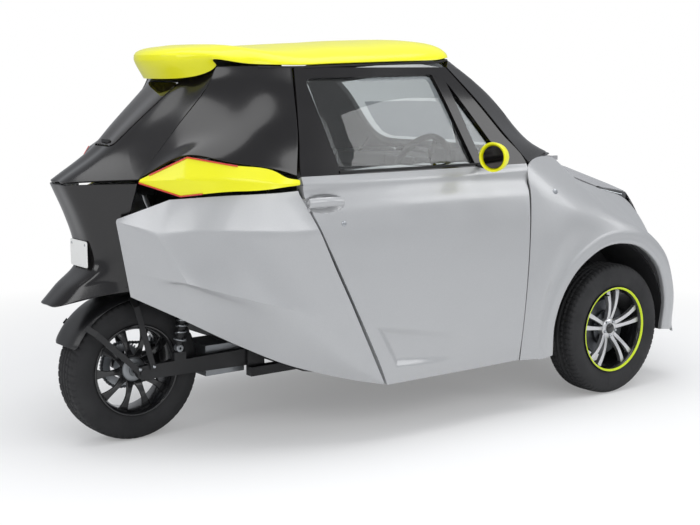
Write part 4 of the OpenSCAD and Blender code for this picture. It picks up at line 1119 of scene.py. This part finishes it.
@dataclass
class FrontWheel:
    """Front wheel: dished rim, five split spokes, brake disc, nuts and valve."""
    name: str
    side: int

    def build(self) -> None:
        """Makes the wheel on its body."""
        centre = FRONT_HUB * [1, self.side, 1]
        body = f"wheel_front_{self.name}"
        Tyre(f"tyre_front_{self.name}_rubber", body, centre, *FRONT_TYRE).build()
        axis = np.array([0, self.side, 0.0])
        rim = Piece(f"rim_front_{self.name}_barrel", body, [RIM_BLACK, LIME, MACHINED], 0.0008)
        barrel = [[0.186, 0.068], [0.1885, 0.072], [0.1865, 0.0745], [0.181, 0.0735],
                  [0.176, 0.066], [0.168, 0.052],
                  [0.1655, 0.0], [0.168, -0.055], [0.178, -0.068], [0.1865, -0.072],
                  [0.185, -0.066],
                  [0.180, -0.058], [0.1725, -0.04], [0.1705, 0.0], [0.1735, 0.045], [0.182, 0.062]]
        grid = turned_profile(barrel, centre, axis, 128)
        rim.grid(grid, (True, True))
        ring = turned_profile([[0.1772, 0.0700], [0.1825, 0.0752], [0.1852, 0.0757],
                               [0.1870, 0.0745], [0.1835, 0.0728],
                               [0.1785, 0.0675]], centre, axis, 128)
        rim.grid(ring, (True, True), 1)
        rim.build([f"rim_front_{self.name}"])
        self._spokes(centre, axis, body)
        self._brake(centre, axis)

    def _spokes(self, centre: Array, axis: Array, body: str) -> None:
        """Five spokes that fork into two blades: half-width and dish follow the radius."""
        u0, v0, w0 = axes_along(axis)
        spokes = Piece(f"rim_front_{self.name}_spokes", body, [MACHINED, RIM_BLACK], 0.0012)
        t = np.linspace(0, 1, 26)[:, None]
        s = np.array([[-1.0, -0.92, -0.5, 0.0, 0.5, 0.92, 1.0, 0.9, 0.0, -0.9]])
        face = np.array([[0.0, 1, 1, 1, 1, 1, 0, -1, -1, -1]])
        for k in range(5):
            for blade in (-1, 1):
                radius = 0.030 + 0.1400 * t
                middle_line = blade * (0.0085 + 0.0215 * t ** 1.2)
                half = 0.0100 - 0.0022 * np.sin(np.pi * t) + 0.0020 * t ** 2
                dish = 0.060 - 0.022 * (1 - t) ** 2 + 0.006 * np.sin(np.pi * t) - 0.002 * t
                across = middle_line + s * half
                height = dish + np.where(face > 0, 0.0, np.where(face < 0, -0.020, -0.004))
                angle = 2 * np.pi * k / 5 + np.pi / 2
                radial = np.cos(angle) * u0 + np.sin(angle) * v0
                side = -np.sin(angle) * u0 + np.cos(angle) * v0
                grid = (centre + (radius + 0 * s)[..., None] * radial + across[..., None] * side
                        + (height + 0 * t)[..., None] * w0)
                middle_point = grid.mean(1, keepdims=True)
                grid = np.concatenate([grid[:1] * 0 + middle_point[:1], grid,
                                       grid[-1:] * 0 + middle_point[-1:]])
                spokes.grid(grid.swapaxes(0, 1))
        hub = turned_profile(smooth_rows([[0.022, 0.046], [0.034, 0.0465], [0.043, 0.041],
                                          [0.046, 0.020], [0.046, -0.030],
                                          [0.022, -0.032]], 5, (1, 3, 4)), centre, axis, 64)
        spokes.grid(hub, (True, True))
        spokes.build()
        cap = Piece(f"rim_front_{self.name}_cap", body, [RIM_BLACK, STEEL], 0.0006)
        cap.grid(turned_profile(smooth_rows([[0, 0.0555], [0.012, 0.0545], [0.021, 0.051],
                                             [0.0235, 0.046],
                                             [0.0235, 0.030], [0, 0.030]], 4, (3, 4)), centre, axis,
                                             48))
        for k in range(5):
            angle = 2 * np.pi * (k + 0.5) / 5 + np.pi / 2
            at = centre + 0.0335 * (np.cos(angle) * u0 + np.sin(angle) * v0)
            cap.grid(turned_profile([[0, 0.0535], [0.0045, 0.0535], [0.0068, 0.0515],
                                     [0.0070, 0.038], [0, 0.038]],
                                    at, axis, 6), (True, False), 1)
        valve = centre + 0.166 * (np.cos(1.9) * u0 + np.sin(1.9) * v0)
        cap.grid(turned_profile([[0, 0.084], [0.0028, 0.0835], [0.0034, 0.078], [0.0034, 0.069],
                                 [0.0048, 0.066],
                                 [0.0048, 0.056], [0, 0.056]], valve, axis, 14))
        cap.build()

    def _brake(self, centre: Array, axis: Array) -> None:
        """The vented disc on the wheel."""
        disc = Piece(f"brake_disc_{self.name}", f"wheel_front_{self.name}", [DARK_STEEL], 0.0006)
        disc.grid(turned_profile([[0.040, 0.020], [0.075, 0.020], [0.078, 0.006], [0.122, 0.006],
                                  [0.122, 0.001],
                                  [0.112, 0.0005], [0.112, -0.0045], [0.122, -0.005],
                                  [0.122, -0.010], [0.040, -0.010]],
                                 centre, axis, 96), (True, True))
        disc.build()


@dataclass
class RearWheel:
    """Rear wheel: black pressed rim with slots, sprocket and hub."""
    body: str = "wheel_rear"

    def build(self) -> None:
        """Makes the wheel."""
        Tyre("tyre_rear_rubber", self.body, REAR_HUB, *REAR_TYRE).build()
        axis = (0, -1, 0)
        rim = Piece("rim_rear_barrel", self.body, [RIM_BLACK, MACHINED], 0.0008)
        rim.grid(turned_profile([[0.176, 0.062], [0.1785, 0.066], [0.1765, 0.0685], [0.171, 0.0675],
                                 [0.166, 0.060],
                                 [0.158, 0.046], [0.1555, 0.0], [0.158, -0.046], [0.166, -0.060],
                                 [0.1765, -0.0675],
                                 [0.175, -0.062], [0.171, -0.052], [0.1625, -0.04], [0.1605, 0.0],
                                 [0.1635, 0.040],
                                 [0.1715, 0.056]], REAR_HUB, axis, 128), (True, True))
        rim.build(["rim_rear"])
        self._web(axis)
        hub = Piece("rear_hub_shell", self.body, [CAST_ALLOY, STEEL], 0.0008)
        hub.grid(turned_profile(smooth_rows([[0.0142, 0.058], [0.024, 0.058], [0.026, 0.046],
                                             [0.046, 0.040], [0.050, 0.020],
                                             [0.050, -0.020], [0.046, -0.040], [0.026, -0.046],
                                             [0.024, -0.058],
                                             [0.0142, -0.058]], 4, (1, 2, 7, 8)), REAR_HUB, axis,
                                             64), (True, True))
        hub.build()
        self._sprocket()

    def _web(self, axis: Sequence[float]) -> None:
        """Ten dished black spokes, each a strip from the hub out to the barrel; the bright edges of the slots
        between them are not drawn.
        """
        u0, v0, w0 = axes_along(axis)
        web = Piece("rim_rear_spokes", self.body, [RIM_BLACK], 0.0015)
        t = np.linspace(0, 1, 20)[:, None]
        s = np.array([[-1.0, -0.8, 0.0, 0.8, 1.0, 0.8, 0.0, -0.8]])
        face = np.array([[0.0, 1, 1, 1, 0, -1, -1, -1]])
        for k in range(10):
            angle = 2 * np.pi * k / 10
            radial = np.cos(angle) * u0 + np.sin(angle) * v0
            side = -np.sin(angle) * u0 + np.cos(angle) * v0
            radius = 0.044 + 0.116 * t
            half = 0.0115 + 0.0105 * (2 * t - 1) ** 2
            dish = 0.030 + 0.016 * np.sin(np.pi * t * 0.9)
            grid = (REAR_HUB + (radius + 0 * s)[..., None] * radial + (s * half)[..., None] * side
                    + (dish + 0.005 * face)[..., None] * w0)
            middle_point = grid.mean(1, keepdims=True)
            grid = np.concatenate([grid[:1] * 0 + middle_point[:1], grid,
                                   grid[-1:] * 0 + middle_point[-1:]])
            web.grid(grid.swapaxes(0, 1))
        web.build()

    def _sprocket(self) -> None:
        """The toothed sprocket: r(a) = root + tooth height, from a rounded wave of the angle."""
        teeth, steps = 44, 44 * 8
        angle = np.linspace(0, 2 * np.pi, steps, endpoint=False)
        tip = 0.0865 + 0.0045 * np.clip(1.6 * np.cos(teeth * angle), -1, 1)
        profile = np.array([[0.052, 0.0], [0.052, 0.0], [1.0, 0.0], [1.0, -0.005], [0.052, -0.005]])
        u0, v0, w0 = axes_along((0, 1, 0))
        radius = np.where(profile[None, :, 0] > 0.5, tip[:, None], profile[None, :, 0])
        ray = np.cos(angle)[:, None, None] * u0 + np.sin(angle)[:, None, None] * v0
        grid = REAR_HUB + radius[..., None] * ray + (0.0635 + profile[None, :, 1:2]) * w0
        piece = Piece("rear_sprocket", self.body, [STEEL], 0.0004)
        piece.grid(grid[:, 1:], (True, True))
        piece.build()

# ---- Running gear ---------------------------------------------------------------------------
def rod_between(a: Array, b: Array, profile: Sequence, sides: int = 20) -> Array:
    """Turns a profile about the line a to b: heights from 0 to 1 run from a to b."""
    axis = b - a
    table = np.asarray(profile, float) * [1, np.linalg.norm(axis)]
    return turned_profile(table, a, axis, sides)


def coil(a: Array, b: Array, radius: float, wire: float, turns: float) -> Array:
    """A spring from a to b: P(t) = a + t (b - a) + R (cos(2 pi n t) u + sin(2 pi n t) v)."""
    u, v, _ = axes_along(b - a)
    t = np.linspace(0, 1, int(turns * 26))[:, None]
    pitch = smooth_step(t * 4) * 0.06 + t * 0.88 + 0.06 * smooth_step((t - 0.75) * 4)
    angle = 2 * np.pi * turns * t
    return tube_along(a + (b - a) * pitch + radius * (np.cos(angle) * u + np.sin(angle) * v), wire,
                      8)


@dataclass
class RunningGear:
    """Rear mudguard, coil-over dampers, chain, and the front struts' springs."""
    body: str = "chassis"

    def build(self) -> None:
        """Makes every piece."""
        self._mudguard()
        self._rear_dampers()
        self._chain()
        self._front_struts()

    def _mudguard(self) -> None:
        """The guard round the tyre, with rolled lips, and its two flat stays a side."""
        guard = Piece("mudguard_skin", self.body, [GUARD], 0.0008)
        a = np.radians(np.linspace(64, 156, 60))[:, None]
        s = np.linspace(-1, 1, 33)[None, :]
        end = np.minimum(1, np.minimum(a - a[0], a[-1] - a) / 0.10)
        half = 0.0945 * (0.80 + 0.20 * np.sqrt(np.clip(1 - (1 - end) ** 2, 0, 1)))
        r = 0.3043 - 0.0165 * np.abs(s) ** 5 - 0.003 * s ** 2
        ray = np.stack([np.cos(a), 0 * a, np.sin(a)], axis=-1)
        grid = REAR_HUB + r[..., None] * ray + (half * s)[..., None] * np.array([0, 1.0, 0])
        guard.shell(grid, 0.0032, outward=(-0.3, 0, 1))
        guard.build(["rear_mudguard"])
        stays = Piece("mudguard_stays", self.body, [FRAME, STEEL], 0.0008)
        for side in SIDES.values():
            for angle, foot in ((96, (0.040, 0.285)), (138, (-0.020, 0.282))):
                ray = np.array([np.cos(np.radians(angle)), 0, np.sin(np.radians(angle))])
                top = REAR_HUB + 0.2955 * ray + [0, side * 0.0905, 0]
                bend = REAR_HUB + 0.262 * ray + [0, side * 0.1265, 0]
                low = np.array([AXLE_X + foot[0], side * 0.1265, foot[1]])
                path = smooth_rows(np.array([top, bend, low]), 12, (1,))
                along = path[-1] - path[0]
                wide = np.cross(along / np.linalg.norm(along), [0, 1, 0]) * 0.0115
                square = np.array([[1, 1], [-1, 1], [-1, -1], [1, -1]], float)
                strip = np.stack([path + p * wide + q * np.array([0, 0.0022, 0]) for p,
                                  q in square])
                ends = strip.mean(0)
                strip = np.concatenate([ends[None, :1].repeat(4, 0), strip,
                                        ends[None, -1:].repeat(4, 0)], axis=1)
                stays.grid(strip)
                stays.grid(turned_profile([[0, 0.0085], [0.005, 0.0085], [0.0075, 0.006],
                                           [0.0075, -0.003], [0, -0.003]],
                                          low + [0, side * 0.001, 0.010], (0, side, 0), 6),
                                          (True, False), 1)
        stays.build()

    def _rear_dampers(self) -> None:
        """Twin coil-over dampers between the swingarm and the body."""
        piece = Piece("rear_coilovers", self.body, [STEEL, FRAME, CAST_ALLOY], 0.0005)
        for side in SIDES.values():
            low, high = car([160, 108, 348]) * [1, side, 1], car([205, 108, 575.5]) * [1, side, 1]
            piece.grid(rod_between(low, high,
                                   [[0, 0.02], [0.013, 0.02], [0.013, 0.10], [0.0165, 0.11],
                                    [0.0165, 0.56],
                                               [0.0145, 0.57], [0.0065, 0.575], [0.0065, 0.93],
                                               [0, 0.93]]), (True, False), 1)
            for share in (0.13, 0.86):
                piece.grid(rod_between(low, high,
                                       [[0.008, share], [0.0252, share], [0.0262, share + 0.008],
                                                   [0.0262, share + 0.022], [0.020, share + 0.032],
                                                   [0.008, share + 0.034]],
                                       28), (True, True), 2)
            span = high - low
            piece.grid(coil(low + span * 0.165, low + span * 0.858, 0.0215, 0.0040, 6.5),
                       (True, False), 0)
            for end in (low, high):
                piece.grid(turned_profile([[0.005, 0.014], [0.0135, 0.0135], [0.0155, 0.011],
                                           [0.0155, -0.011],
                                           [0.0135, -0.0135], [0.005, -0.014]], end, (0, 1, 0), 24),
                                           (True, True), 2)
        piece.build(["rear_dampers"])

    def _chain(self) -> None:
        """The drive chain: a belt round both sprockets whose width swells at each link."""
        small, big = 0.030, 0.0885
        front = car([430, 0, 273.5])
        reach = front[0] - REAR_HUB[0]
        lean = np.arcsin((big - small) / reach)
        back = np.linspace(np.pi / 2 - lean, 3 * np.pi / 2 + lean, 60)
        turn = np.linspace(-np.pi / 2 + lean, np.pi / 2 - lean, 24)
        big_arc = REAR_HUB + big * np.stack([np.cos(back), 0 * back, np.sin(back)], axis=-1)
        small_arc = front + small * np.stack([np.cos(turn), 0 * turn, np.sin(turn)], axis=-1)
        corners = np.concatenate([big_arc, small_arc, big_arc[:1]])
        length = np.concatenate([[0], np.cumsum(np.linalg.norm(np.diff(corners, axis=0), axis=1))])
        links = int(length[-1] / CHAIN_PITCH) // 2 * 2
        at = np.linspace(0, length[-1], links * 4, endpoint=False)
        path = np.stack([np.interp(at, length, corners[:, k]) for k in range(3)], axis=-1)
        ahead = np.roll(path, -1, 0) - np.roll(path, 1, 0)
        ahead /= np.linalg.norm(ahead, axis=1, keepdims=True)
        out = np.cross(ahead, [0, 1, 0])
        phase = np.arange(links * 4)
        tall = 0.0046 + 0.0016 * np.cos(phase * np.pi / 2)
        wide = np.where((phase // 4) % 2 == 0, 0.0048, 0.0060)
        corner = np.array([[1, 1], [-1, 1], [-1, -1], [1, -1]], float)
        y = np.array([0, 1.0, 0])
        grid = np.stack([path + [0, CHAIN_Y, 0] + p * wide[:, None] * y + q * tall[:,
                                                                                   None] * out for p, q in corner])
        piece = Piece("drive_chain", self.body, [DARK_STEEL], 0.0003)
        piece.grid(grid, (True, True))
        hub = front + [0, CHAIN_Y, 0]
        piece.grid(turned_profile([[0.008, 0.010], [0.020, 0.010], [0.022, 0.004], [0.027, 0.003],
                                   [0.027, -0.003],
                                   [0.008, -0.003]], hub, (0, 1, 0), 40), (True, True))
        piece.build()

    def _front_struts(self) -> None:
        """Springs round the front dampers."""
        piece = Piece("front_springs", self.body, [FRAME, MOULDED], 0.0005)
        for side in SIDES.values():
            low, high = car([2008.5, 508, 386]) * [1, side, 1], car([2003.5, 475, 596]) * [1, side,
                                                                                           1]
            piece.grid(coil(low, high, 0.034, 0.0050, 5.0), (True, False), 0)
        piece.build()


# ---- Cabin and small parts ------------------------------------------------------------------
@dataclass
class Cabin:
    """Seats, steering wheel and dashboard details."""

    def build(self) -> None:
        """Makes the cabin's pieces."""
        for name, side in SIDES.items():
            self._seat(name, side)
        self._steering_wheel()
        self._dashboard()

    def _seat(self, name: str, side: int) -> None:
        """A seat: base cushion with raised sides, back with wings and head rest."""
        for part, centre, half, tilt in (
                ("cushion", (848, 270, 492), (246, 222, 58), 4),
                ("back", (624, 270, 792), (62, 216, 260), -12),
                ("head_rest", (546, 270, 1134), (42, 132, 82), -6)):
            angle = np.radians(tilt)
            axes = np.array([[np.cos(angle), 0, np.sin(angle)], [0, 1, 0],
                             [-np.sin(angle), 0, np.cos(angle)]])
            grid = soft_box((0, 0, 0), np.array(half) / 1000, 0.42, None, (72, 37))
            y, z, x = grid[..., 1] / (half[1] / 1000), grid[..., 2], grid[..., 0]
            wing = smooth_step((np.abs(y) - 0.62) / 0.2)
            if part == "cushion":
                grid[..., 2] += np.where(z > 0, 0.016 * wing - 0.006,
                                         0) * smooth_step((0.9 - x * 4) * 2)
            if part == "back":
                grid[..., 0] += np.where(x > 0, 0.022 * wing - 0.006, 0)
            place = car(centre) * [1, side, 1]
            piece = Piece(f"seat_{part}_{name}", "chassis", [CLOTH])
            piece.grid(place + grid @ axes)
            covers = {"cushion": ["seat_cushions"], "back": ["seat_backs"]}.get(part, [])
            piece.build(covers)

    def _steering_wheel(self) -> None:
        """Rim with finger swell, three spokes, hub pad and column."""
        centre, axis = car([1215, -290, 985]), np.array([-0.906308, 0, 0.422618])
        u0, v0, w0 = axes_along(axis)
        a = np.linspace(0, 2 * np.pi, 120, endpoint=False)
        b = np.linspace(0, 2 * np.pi, 20, endpoint=False)[:, None, None]
        ring = np.cos(a)[:, None] * u0 + np.sin(a)[:, None] * v0
        size = 0.0125 + 0.0012 * np.cos(4 * a)[:, None] ** 2
        grid = centre + (0.1665 + size * np.cos(b)) * ring + size * np.sin(b) * w0
        piece = Piece("steering_wheel_rim", "steering_wheel", [MOULDED, STEEL], 0.0006)
        piece.grid(grid, (True, True))
        pad = soft_box(centre + w0 * -0.018, (0.060, 0.052, 0.026), 0.5, np.array([u0, v0, w0]),
                       (48, 25))
        piece.grid(pad)
        for angle in (0.15, np.pi - 0.15, -np.pi / 2):
            ray = np.cos(angle) * v0 + np.sin(angle) * (-u0 if u0[2] < 0 else u0)
            path = (centre + ray * np.linspace(0.03, 0.160, 12)[:, None]
                    + w0 * (-0.022 + 0.02 * np.linspace(0, 1, 12)[:, None] ** 2))
            piece.grid(tube_along(path, 0.014, 14, 0.45))
        piece.grid(rod_between(centre - w0 * 0.03, centre - w0 * 0.140,
                               [[0, 0], [0.020, 0], [0.0218, 0.05], [0.0218, 1], [0, 1]], 28))
        piece.build(["steering_wheel"])

    def _dashboard(self) -> None:
        """Instrument screen and its hood, centre screen and four round vents."""
        piece = Piece("dashboard_screens", "chassis", [SCREEN, MOULDED], 0.002)
        piece.grid(soft_box(car([1352, -290, 1046]), (0.010, 0.085, 0.034), 0.15, None, (40, 21)))
        piece.grid(soft_box(car([1368, -290, 1040]), (0.030, 0.105, 0.044), 0.35, None, (40, 21)),
                   finish=1)
        piece.grid(soft_box(car([1347, 0, 975]), (0.008, 0.095, 0.062), 0.12, None, (40, 21)))
        for w in (-500, -120, 120, 500):
            piece.grid(turned_profile(smooth_rows([[0.012, 0.004], [0.026, 0.006], [0.032, 0.002],
                                                   [0.032, -0.008],
                                                   [0.012, -0.008]], 3, (2, 3)),
                                                   car([1345, w * 0.98, 985]), (-1, 0, 0.2), 32),
                       (True, True), 1)
        piece.build()


@dataclass
class SmallParts:
    """Number plate, hatch, lamps, badges and wedge lights."""

    def build(self) -> None:
        """Makes the small parts."""
        self._plate()
        self._hatch()
        self._lamps()
        self._badges()

    def _plate(self) -> None:
        """The blank plate with its two screws."""
        corners = np.array([[-0.0695, -0.0495], [0.0695, -0.0495], [0.0695, 0.0495],
                            [-0.0695, 0.0495]])
        loop = rounded_loop(corners, 0.009, 6, 6)
        points = np.stack([np.full(len(loop), AXLE_X - 0.1963), loop[:, 0], 0.738 + loop[:, 1]],
                          axis=-1)
        plate = Piece("plate_blank", "chassis", [PLATE, STEEL], 0.0008)
        plate.slab(points, np.array([0.0036, 0, 0]))
        for y in (-0.055, 0.055):
            plate.grid(turned_profile([[0, 0.0022], [0.0032, 0.0018], [0.0052, 0.0002],
                                       [0.0052, -0.001], [0, -0.001]],
                                      np.array([AXLE_X - 0.1964, y, 0.773]), (-1, 0, 0), 24),
                                      finish=1)
        plate.build(["number_plate"])

    def _hatch(self) -> None:
        """Hatch frame with its seal, dark glass and handle."""
        net = car(smooth_net(both_halves(np.array(REAR, float)), (12, 8)))
        outer = np.array(HATCH) / 1000
        middle_point = outer.mean(0)
        glass_loop = rounded_loop(middle_point + (outer - middle_point) * 0.955, 0.016, 10, 8)
        glass = Piece("hatch_pane", "hatch", [DARK_GLASS], 0.0008)
        glass.shell(pane_on(net, glass_loop, (1, 2), 12) + [-0.0006, 0, 0.0006], 0.005, True,
                    outward=(-1, 0, 0.5))
        glass.build(["hatch_glass"])
        band = Piece("hatch_rim", "hatch", [SEAL], 0.0008)
        outer_loop = rounded_loop(middle_point + (outer - middle_point) * 0.968, 0.017, 10, 8)
        inner_loop = rounded_loop(middle_point + (outer - middle_point) * 0.80, 0.012, 10, 8)
        t = np.linspace(0, 1, 5)[None, :, None]
        flat = inner_loop[:, None] * (1 - t) + outer_loop[:, None] * t
        band.shell(lifted(net, flat, (1, 2)) + [0.0048, 0, -0.003], 0.010, True,
                   outward=(-1, 0, 0.5))
        band.build(["hatch_frame"])
        grip = Piece("hatch_handle", "hatch", [MOULDED], 0.0008)
        place = lifted(net, np.array([[0.0, 1.150]]), (1, 2))[0]
        grip.grid(soft_box(place + [-0.004, 0, 0.002], (0.006, 0.030, 0.007), 0.35, None, (40, 21)))
        grip.build()

    def _lamps(self) -> None:
        """Headlamps with a dark cover and light guide, and the red lines of the wedges."""
        net = car(smooth_net(np.array(LAMP, float), (8, 20)))
        wedge = car(smooth_net(WEDGE, (6, 10), (1,), (1,)))
        for name, side in SIDES.items():
            lamp = Piece(f"headlamp_{name}", "chassis", [SCREEN, LIGHT_GUIDE], 0.0012)
            lamp.shell(mirrored(net, side), 0.009, outward=(0.3, side * 0.3, 1))
            line = mirrored(net[4:5].reshape(-1, 3)[4:-6], side) + [0, 0, 0.0006]
            lamp.grid(tube_along(line, 0.0016, 8), finish=1)
            lamp.build(["headlamps"])
            lights = Piece(f"wedge_light_{name}", "chassis", [RED_LAMP], 0.0004)
            for row, first, last in ((-1, 2, 22), (0, 0, 16)):
                edge = mirrored(wedge[row, first:last], side) + [-0.002, side * 0.002,
                                                                 -0.001 if row else 0.001]
                lights.grid(tube_along(edge, 0.0030, 8))
            lights.build()

    def _badges(self) -> None:
        """Plain round badges on the fenders."""
        net = car(fender_net())
        for name, side in SIDES.items():
            at = lifted(net, np.array([[AXLE_X + 1.613, 0.915]]), (0, 2))[0] * [1, side, 1]
            badge = Piece(f"badge_{name}", "chassis", [STEEL], 0.0004)
            badge.grid(turned_profile([[0, 0.0022], [0.010, 0.0020], [0.0135, 0.0008],
                                       [0.0140, -0.003], [0, -0.003]],
                                      at, (0, side, 0.12), 36))
            badge.build()


# ---- Stage and finishes of the plain nodes --------------------------------------------------
@dataclass
class Stage:
    """Floor, lights and camera."""
    floor_colour: str = "F4F4F4"

    def build(self) -> None:
        """Makes the stage."""
        world = bpy.data.worlds.new("studio")
        bpy.context.scene.world = world
        world.use_nodes = True
        tree = world.node_tree
        tree.nodes.clear()
        rays = add_node(tree, "ShaderNodeLightPath")
        seen = add_node(tree, "ShaderNodeBackground", {"Color": linear("FFFFFF"), "Strength": 1.0})
        sky = add_node(tree, "ShaderNodeBackground", {"Color": linear("E6E9EE"), "Strength": 0.62})
        clear = add_node(tree, "ShaderNodeMath", {"operation": "MAXIMUM"}, {
            0: rays.outputs["Is Camera Ray"], 1: rays.outputs["Is Transmission Ray"]})
        mix = add_node(tree, "ShaderNodeMixShader", {},
                       {0: clear.outputs[0], 1: sky.outputs[0], 2: seen.outputs[0]})
        add_node(tree, "ShaderNodeOutputWorld", {}, {"Surface": mix.outputs[0]})
        self._floor()
        self._lights()
        self._camera()
        bpy.context.scene.view_settings.view_transform = "Standard"

    def _floor(self) -> None:
        """A wide pale floor that takes the contact shadow."""
        mesh = bpy.data.meshes.new("floor")
        half = 40.0
        mesh.from_pydata([(-half, -half, 0), (half, -half, 0), (half, half, 0), (-half, half, 0)],
                         [], [(0, 1, 2, 3)])
        floor = bpy.data.objects.new("floor", mesh)
        made = bpy.data.materials.new("studio_floor")
        made.use_nodes = True
        tree = made.node_tree
        tree.nodes.clear()
        rays = add_node(tree, "ShaderNodeLightPath")
        place = add_node(tree, "ShaderNodeTexCoord").outputs["Object"]
        reach = add_node(tree, "ShaderNodeVectorMath", {"operation": "LENGTH"}, {0: place})
        far = add_node(tree, "ShaderNodeMapRange",
                       {"From Min": 1.7, "From Max": 3.4, "To Min": 0.25, "To Max": 1.0},
                       {"Value": reach.outputs["Value"]})
        share = add_node(tree, "ShaderNodeMath", {"operation": "MULTIPLY"},
                         {0: far.outputs["Result"], 1: rays.outputs["Is Camera Ray"]})
        plain = add_node(tree, "ShaderNodeBsdfDiffuse", {"Color": linear(self.floor_colour)})
        white = add_node(tree, "ShaderNodeEmission", {"Color": linear("FFFFFF"), "Strength": 1.0})
        mix = add_node(tree, "ShaderNodeMixShader", {}, {0: share.outputs[0], 1: plain.outputs[0],
                                                         2: white.outputs[0]})
        add_node(tree, "ShaderNodeOutputMaterial", {}, {"Surface": mix.outputs[0]})
        mesh.materials.append(made)
        bpy.context.collection.objects.link(floor)

    def _lights(self) -> None:
        """A large overhead box, a long side strip and two fills."""
        for name, place, aim, size, power in (
                ("overhead", (-0.2, -0.5, 4.6), (0, 0, 0.6), (5.5, 3.6), 130),
                ("side_strip", (-1.6, -5.2, 3.0), (0, 0, 0.7), (6.0, 1.4), 80),
                ("rear_fill", (-5.5, -0.5, 2.6), (-0.6, 0, 0.7), (3.0, 2.2), 50),
                ("front_fill", (4.0, -4.0, 3.0), (0.4, 0, 0.7), (3.0, 2.0), 45)):
            lamp = bpy.data.lights.new(name, "AREA")
            lamp.shape, lamp.size, lamp.size_y, lamp.energy = "RECTANGLE", size[0], size[1], power
            light = bpy.data.objects.new(name, lamp)
            light.location = place
            light.rotation_euler = (Vector(aim) - Vector(place)).to_track_quat("-Z", "Y").to_euler()
            bpy.context.collection.objects.link(light)

    def _camera(self) -> None:
        """The camera at the side rear, at standing height."""
        data = bpy.data.cameras.new("camera")
        data.lens, data.sensor_width = 66.5, 36.0
        camera = bpy.data.objects.new("camera", data)
        camera.location = (-3.3805, -4.427, 1.430)
        yaw, pitch = 0.646, -0.151
        ahead = Vector((np.sin(yaw) * np.cos(pitch), np.cos(yaw) * np.cos(pitch), np.sin(pitch)))
        camera.rotation_euler = ahead.to_track_quat("-Z", "Y").to_euler()
        bpy.context.collection.objects.link(camera)
        bpy.context.scene.camera = camera


NODE_FINISH = {"chassis_frame": FRAME, "floor_tub": MOULDED, "cabin_frame": FRAME,
               "arch_liners": MOULDED,
               "battery_pack": CAST_ALLOY, "drive_motor": CAST_ALLOY, "suspension_arms": FRAME,
               "front_dampers": STEEL, "swingarm": FRAME, "knuckle_left": CAST_ALLOY,
               "knuckle_right": CAST_ALLOY, "dashboard": MOULDED}


def finish_plain_nodes() -> None:
    """Gives its finish to each node in NODE_FINISH. The bonnet is not in it and stays plain."""
    for name, finish in NODE_FINISH.items():
        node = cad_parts[name]
        node.data.materials.clear()
        node.data.materials.append(finish.material())


def main() -> None:
    """Builds the whole car and the stage."""
    logging.basicConfig(level=logging.INFO, format="%(message)s")
    BodyShell().build()
    for name, side in SIDES.items():
        Door(name, side).build()
        FrontWheel(name, side).build()
    RearWheel().build()
    RunningGear().build()
    Cabin().build()
    SmallParts().build()
    finish_plain_nodes()
    Stage().build()


if __name__ == "__main__":
    main()
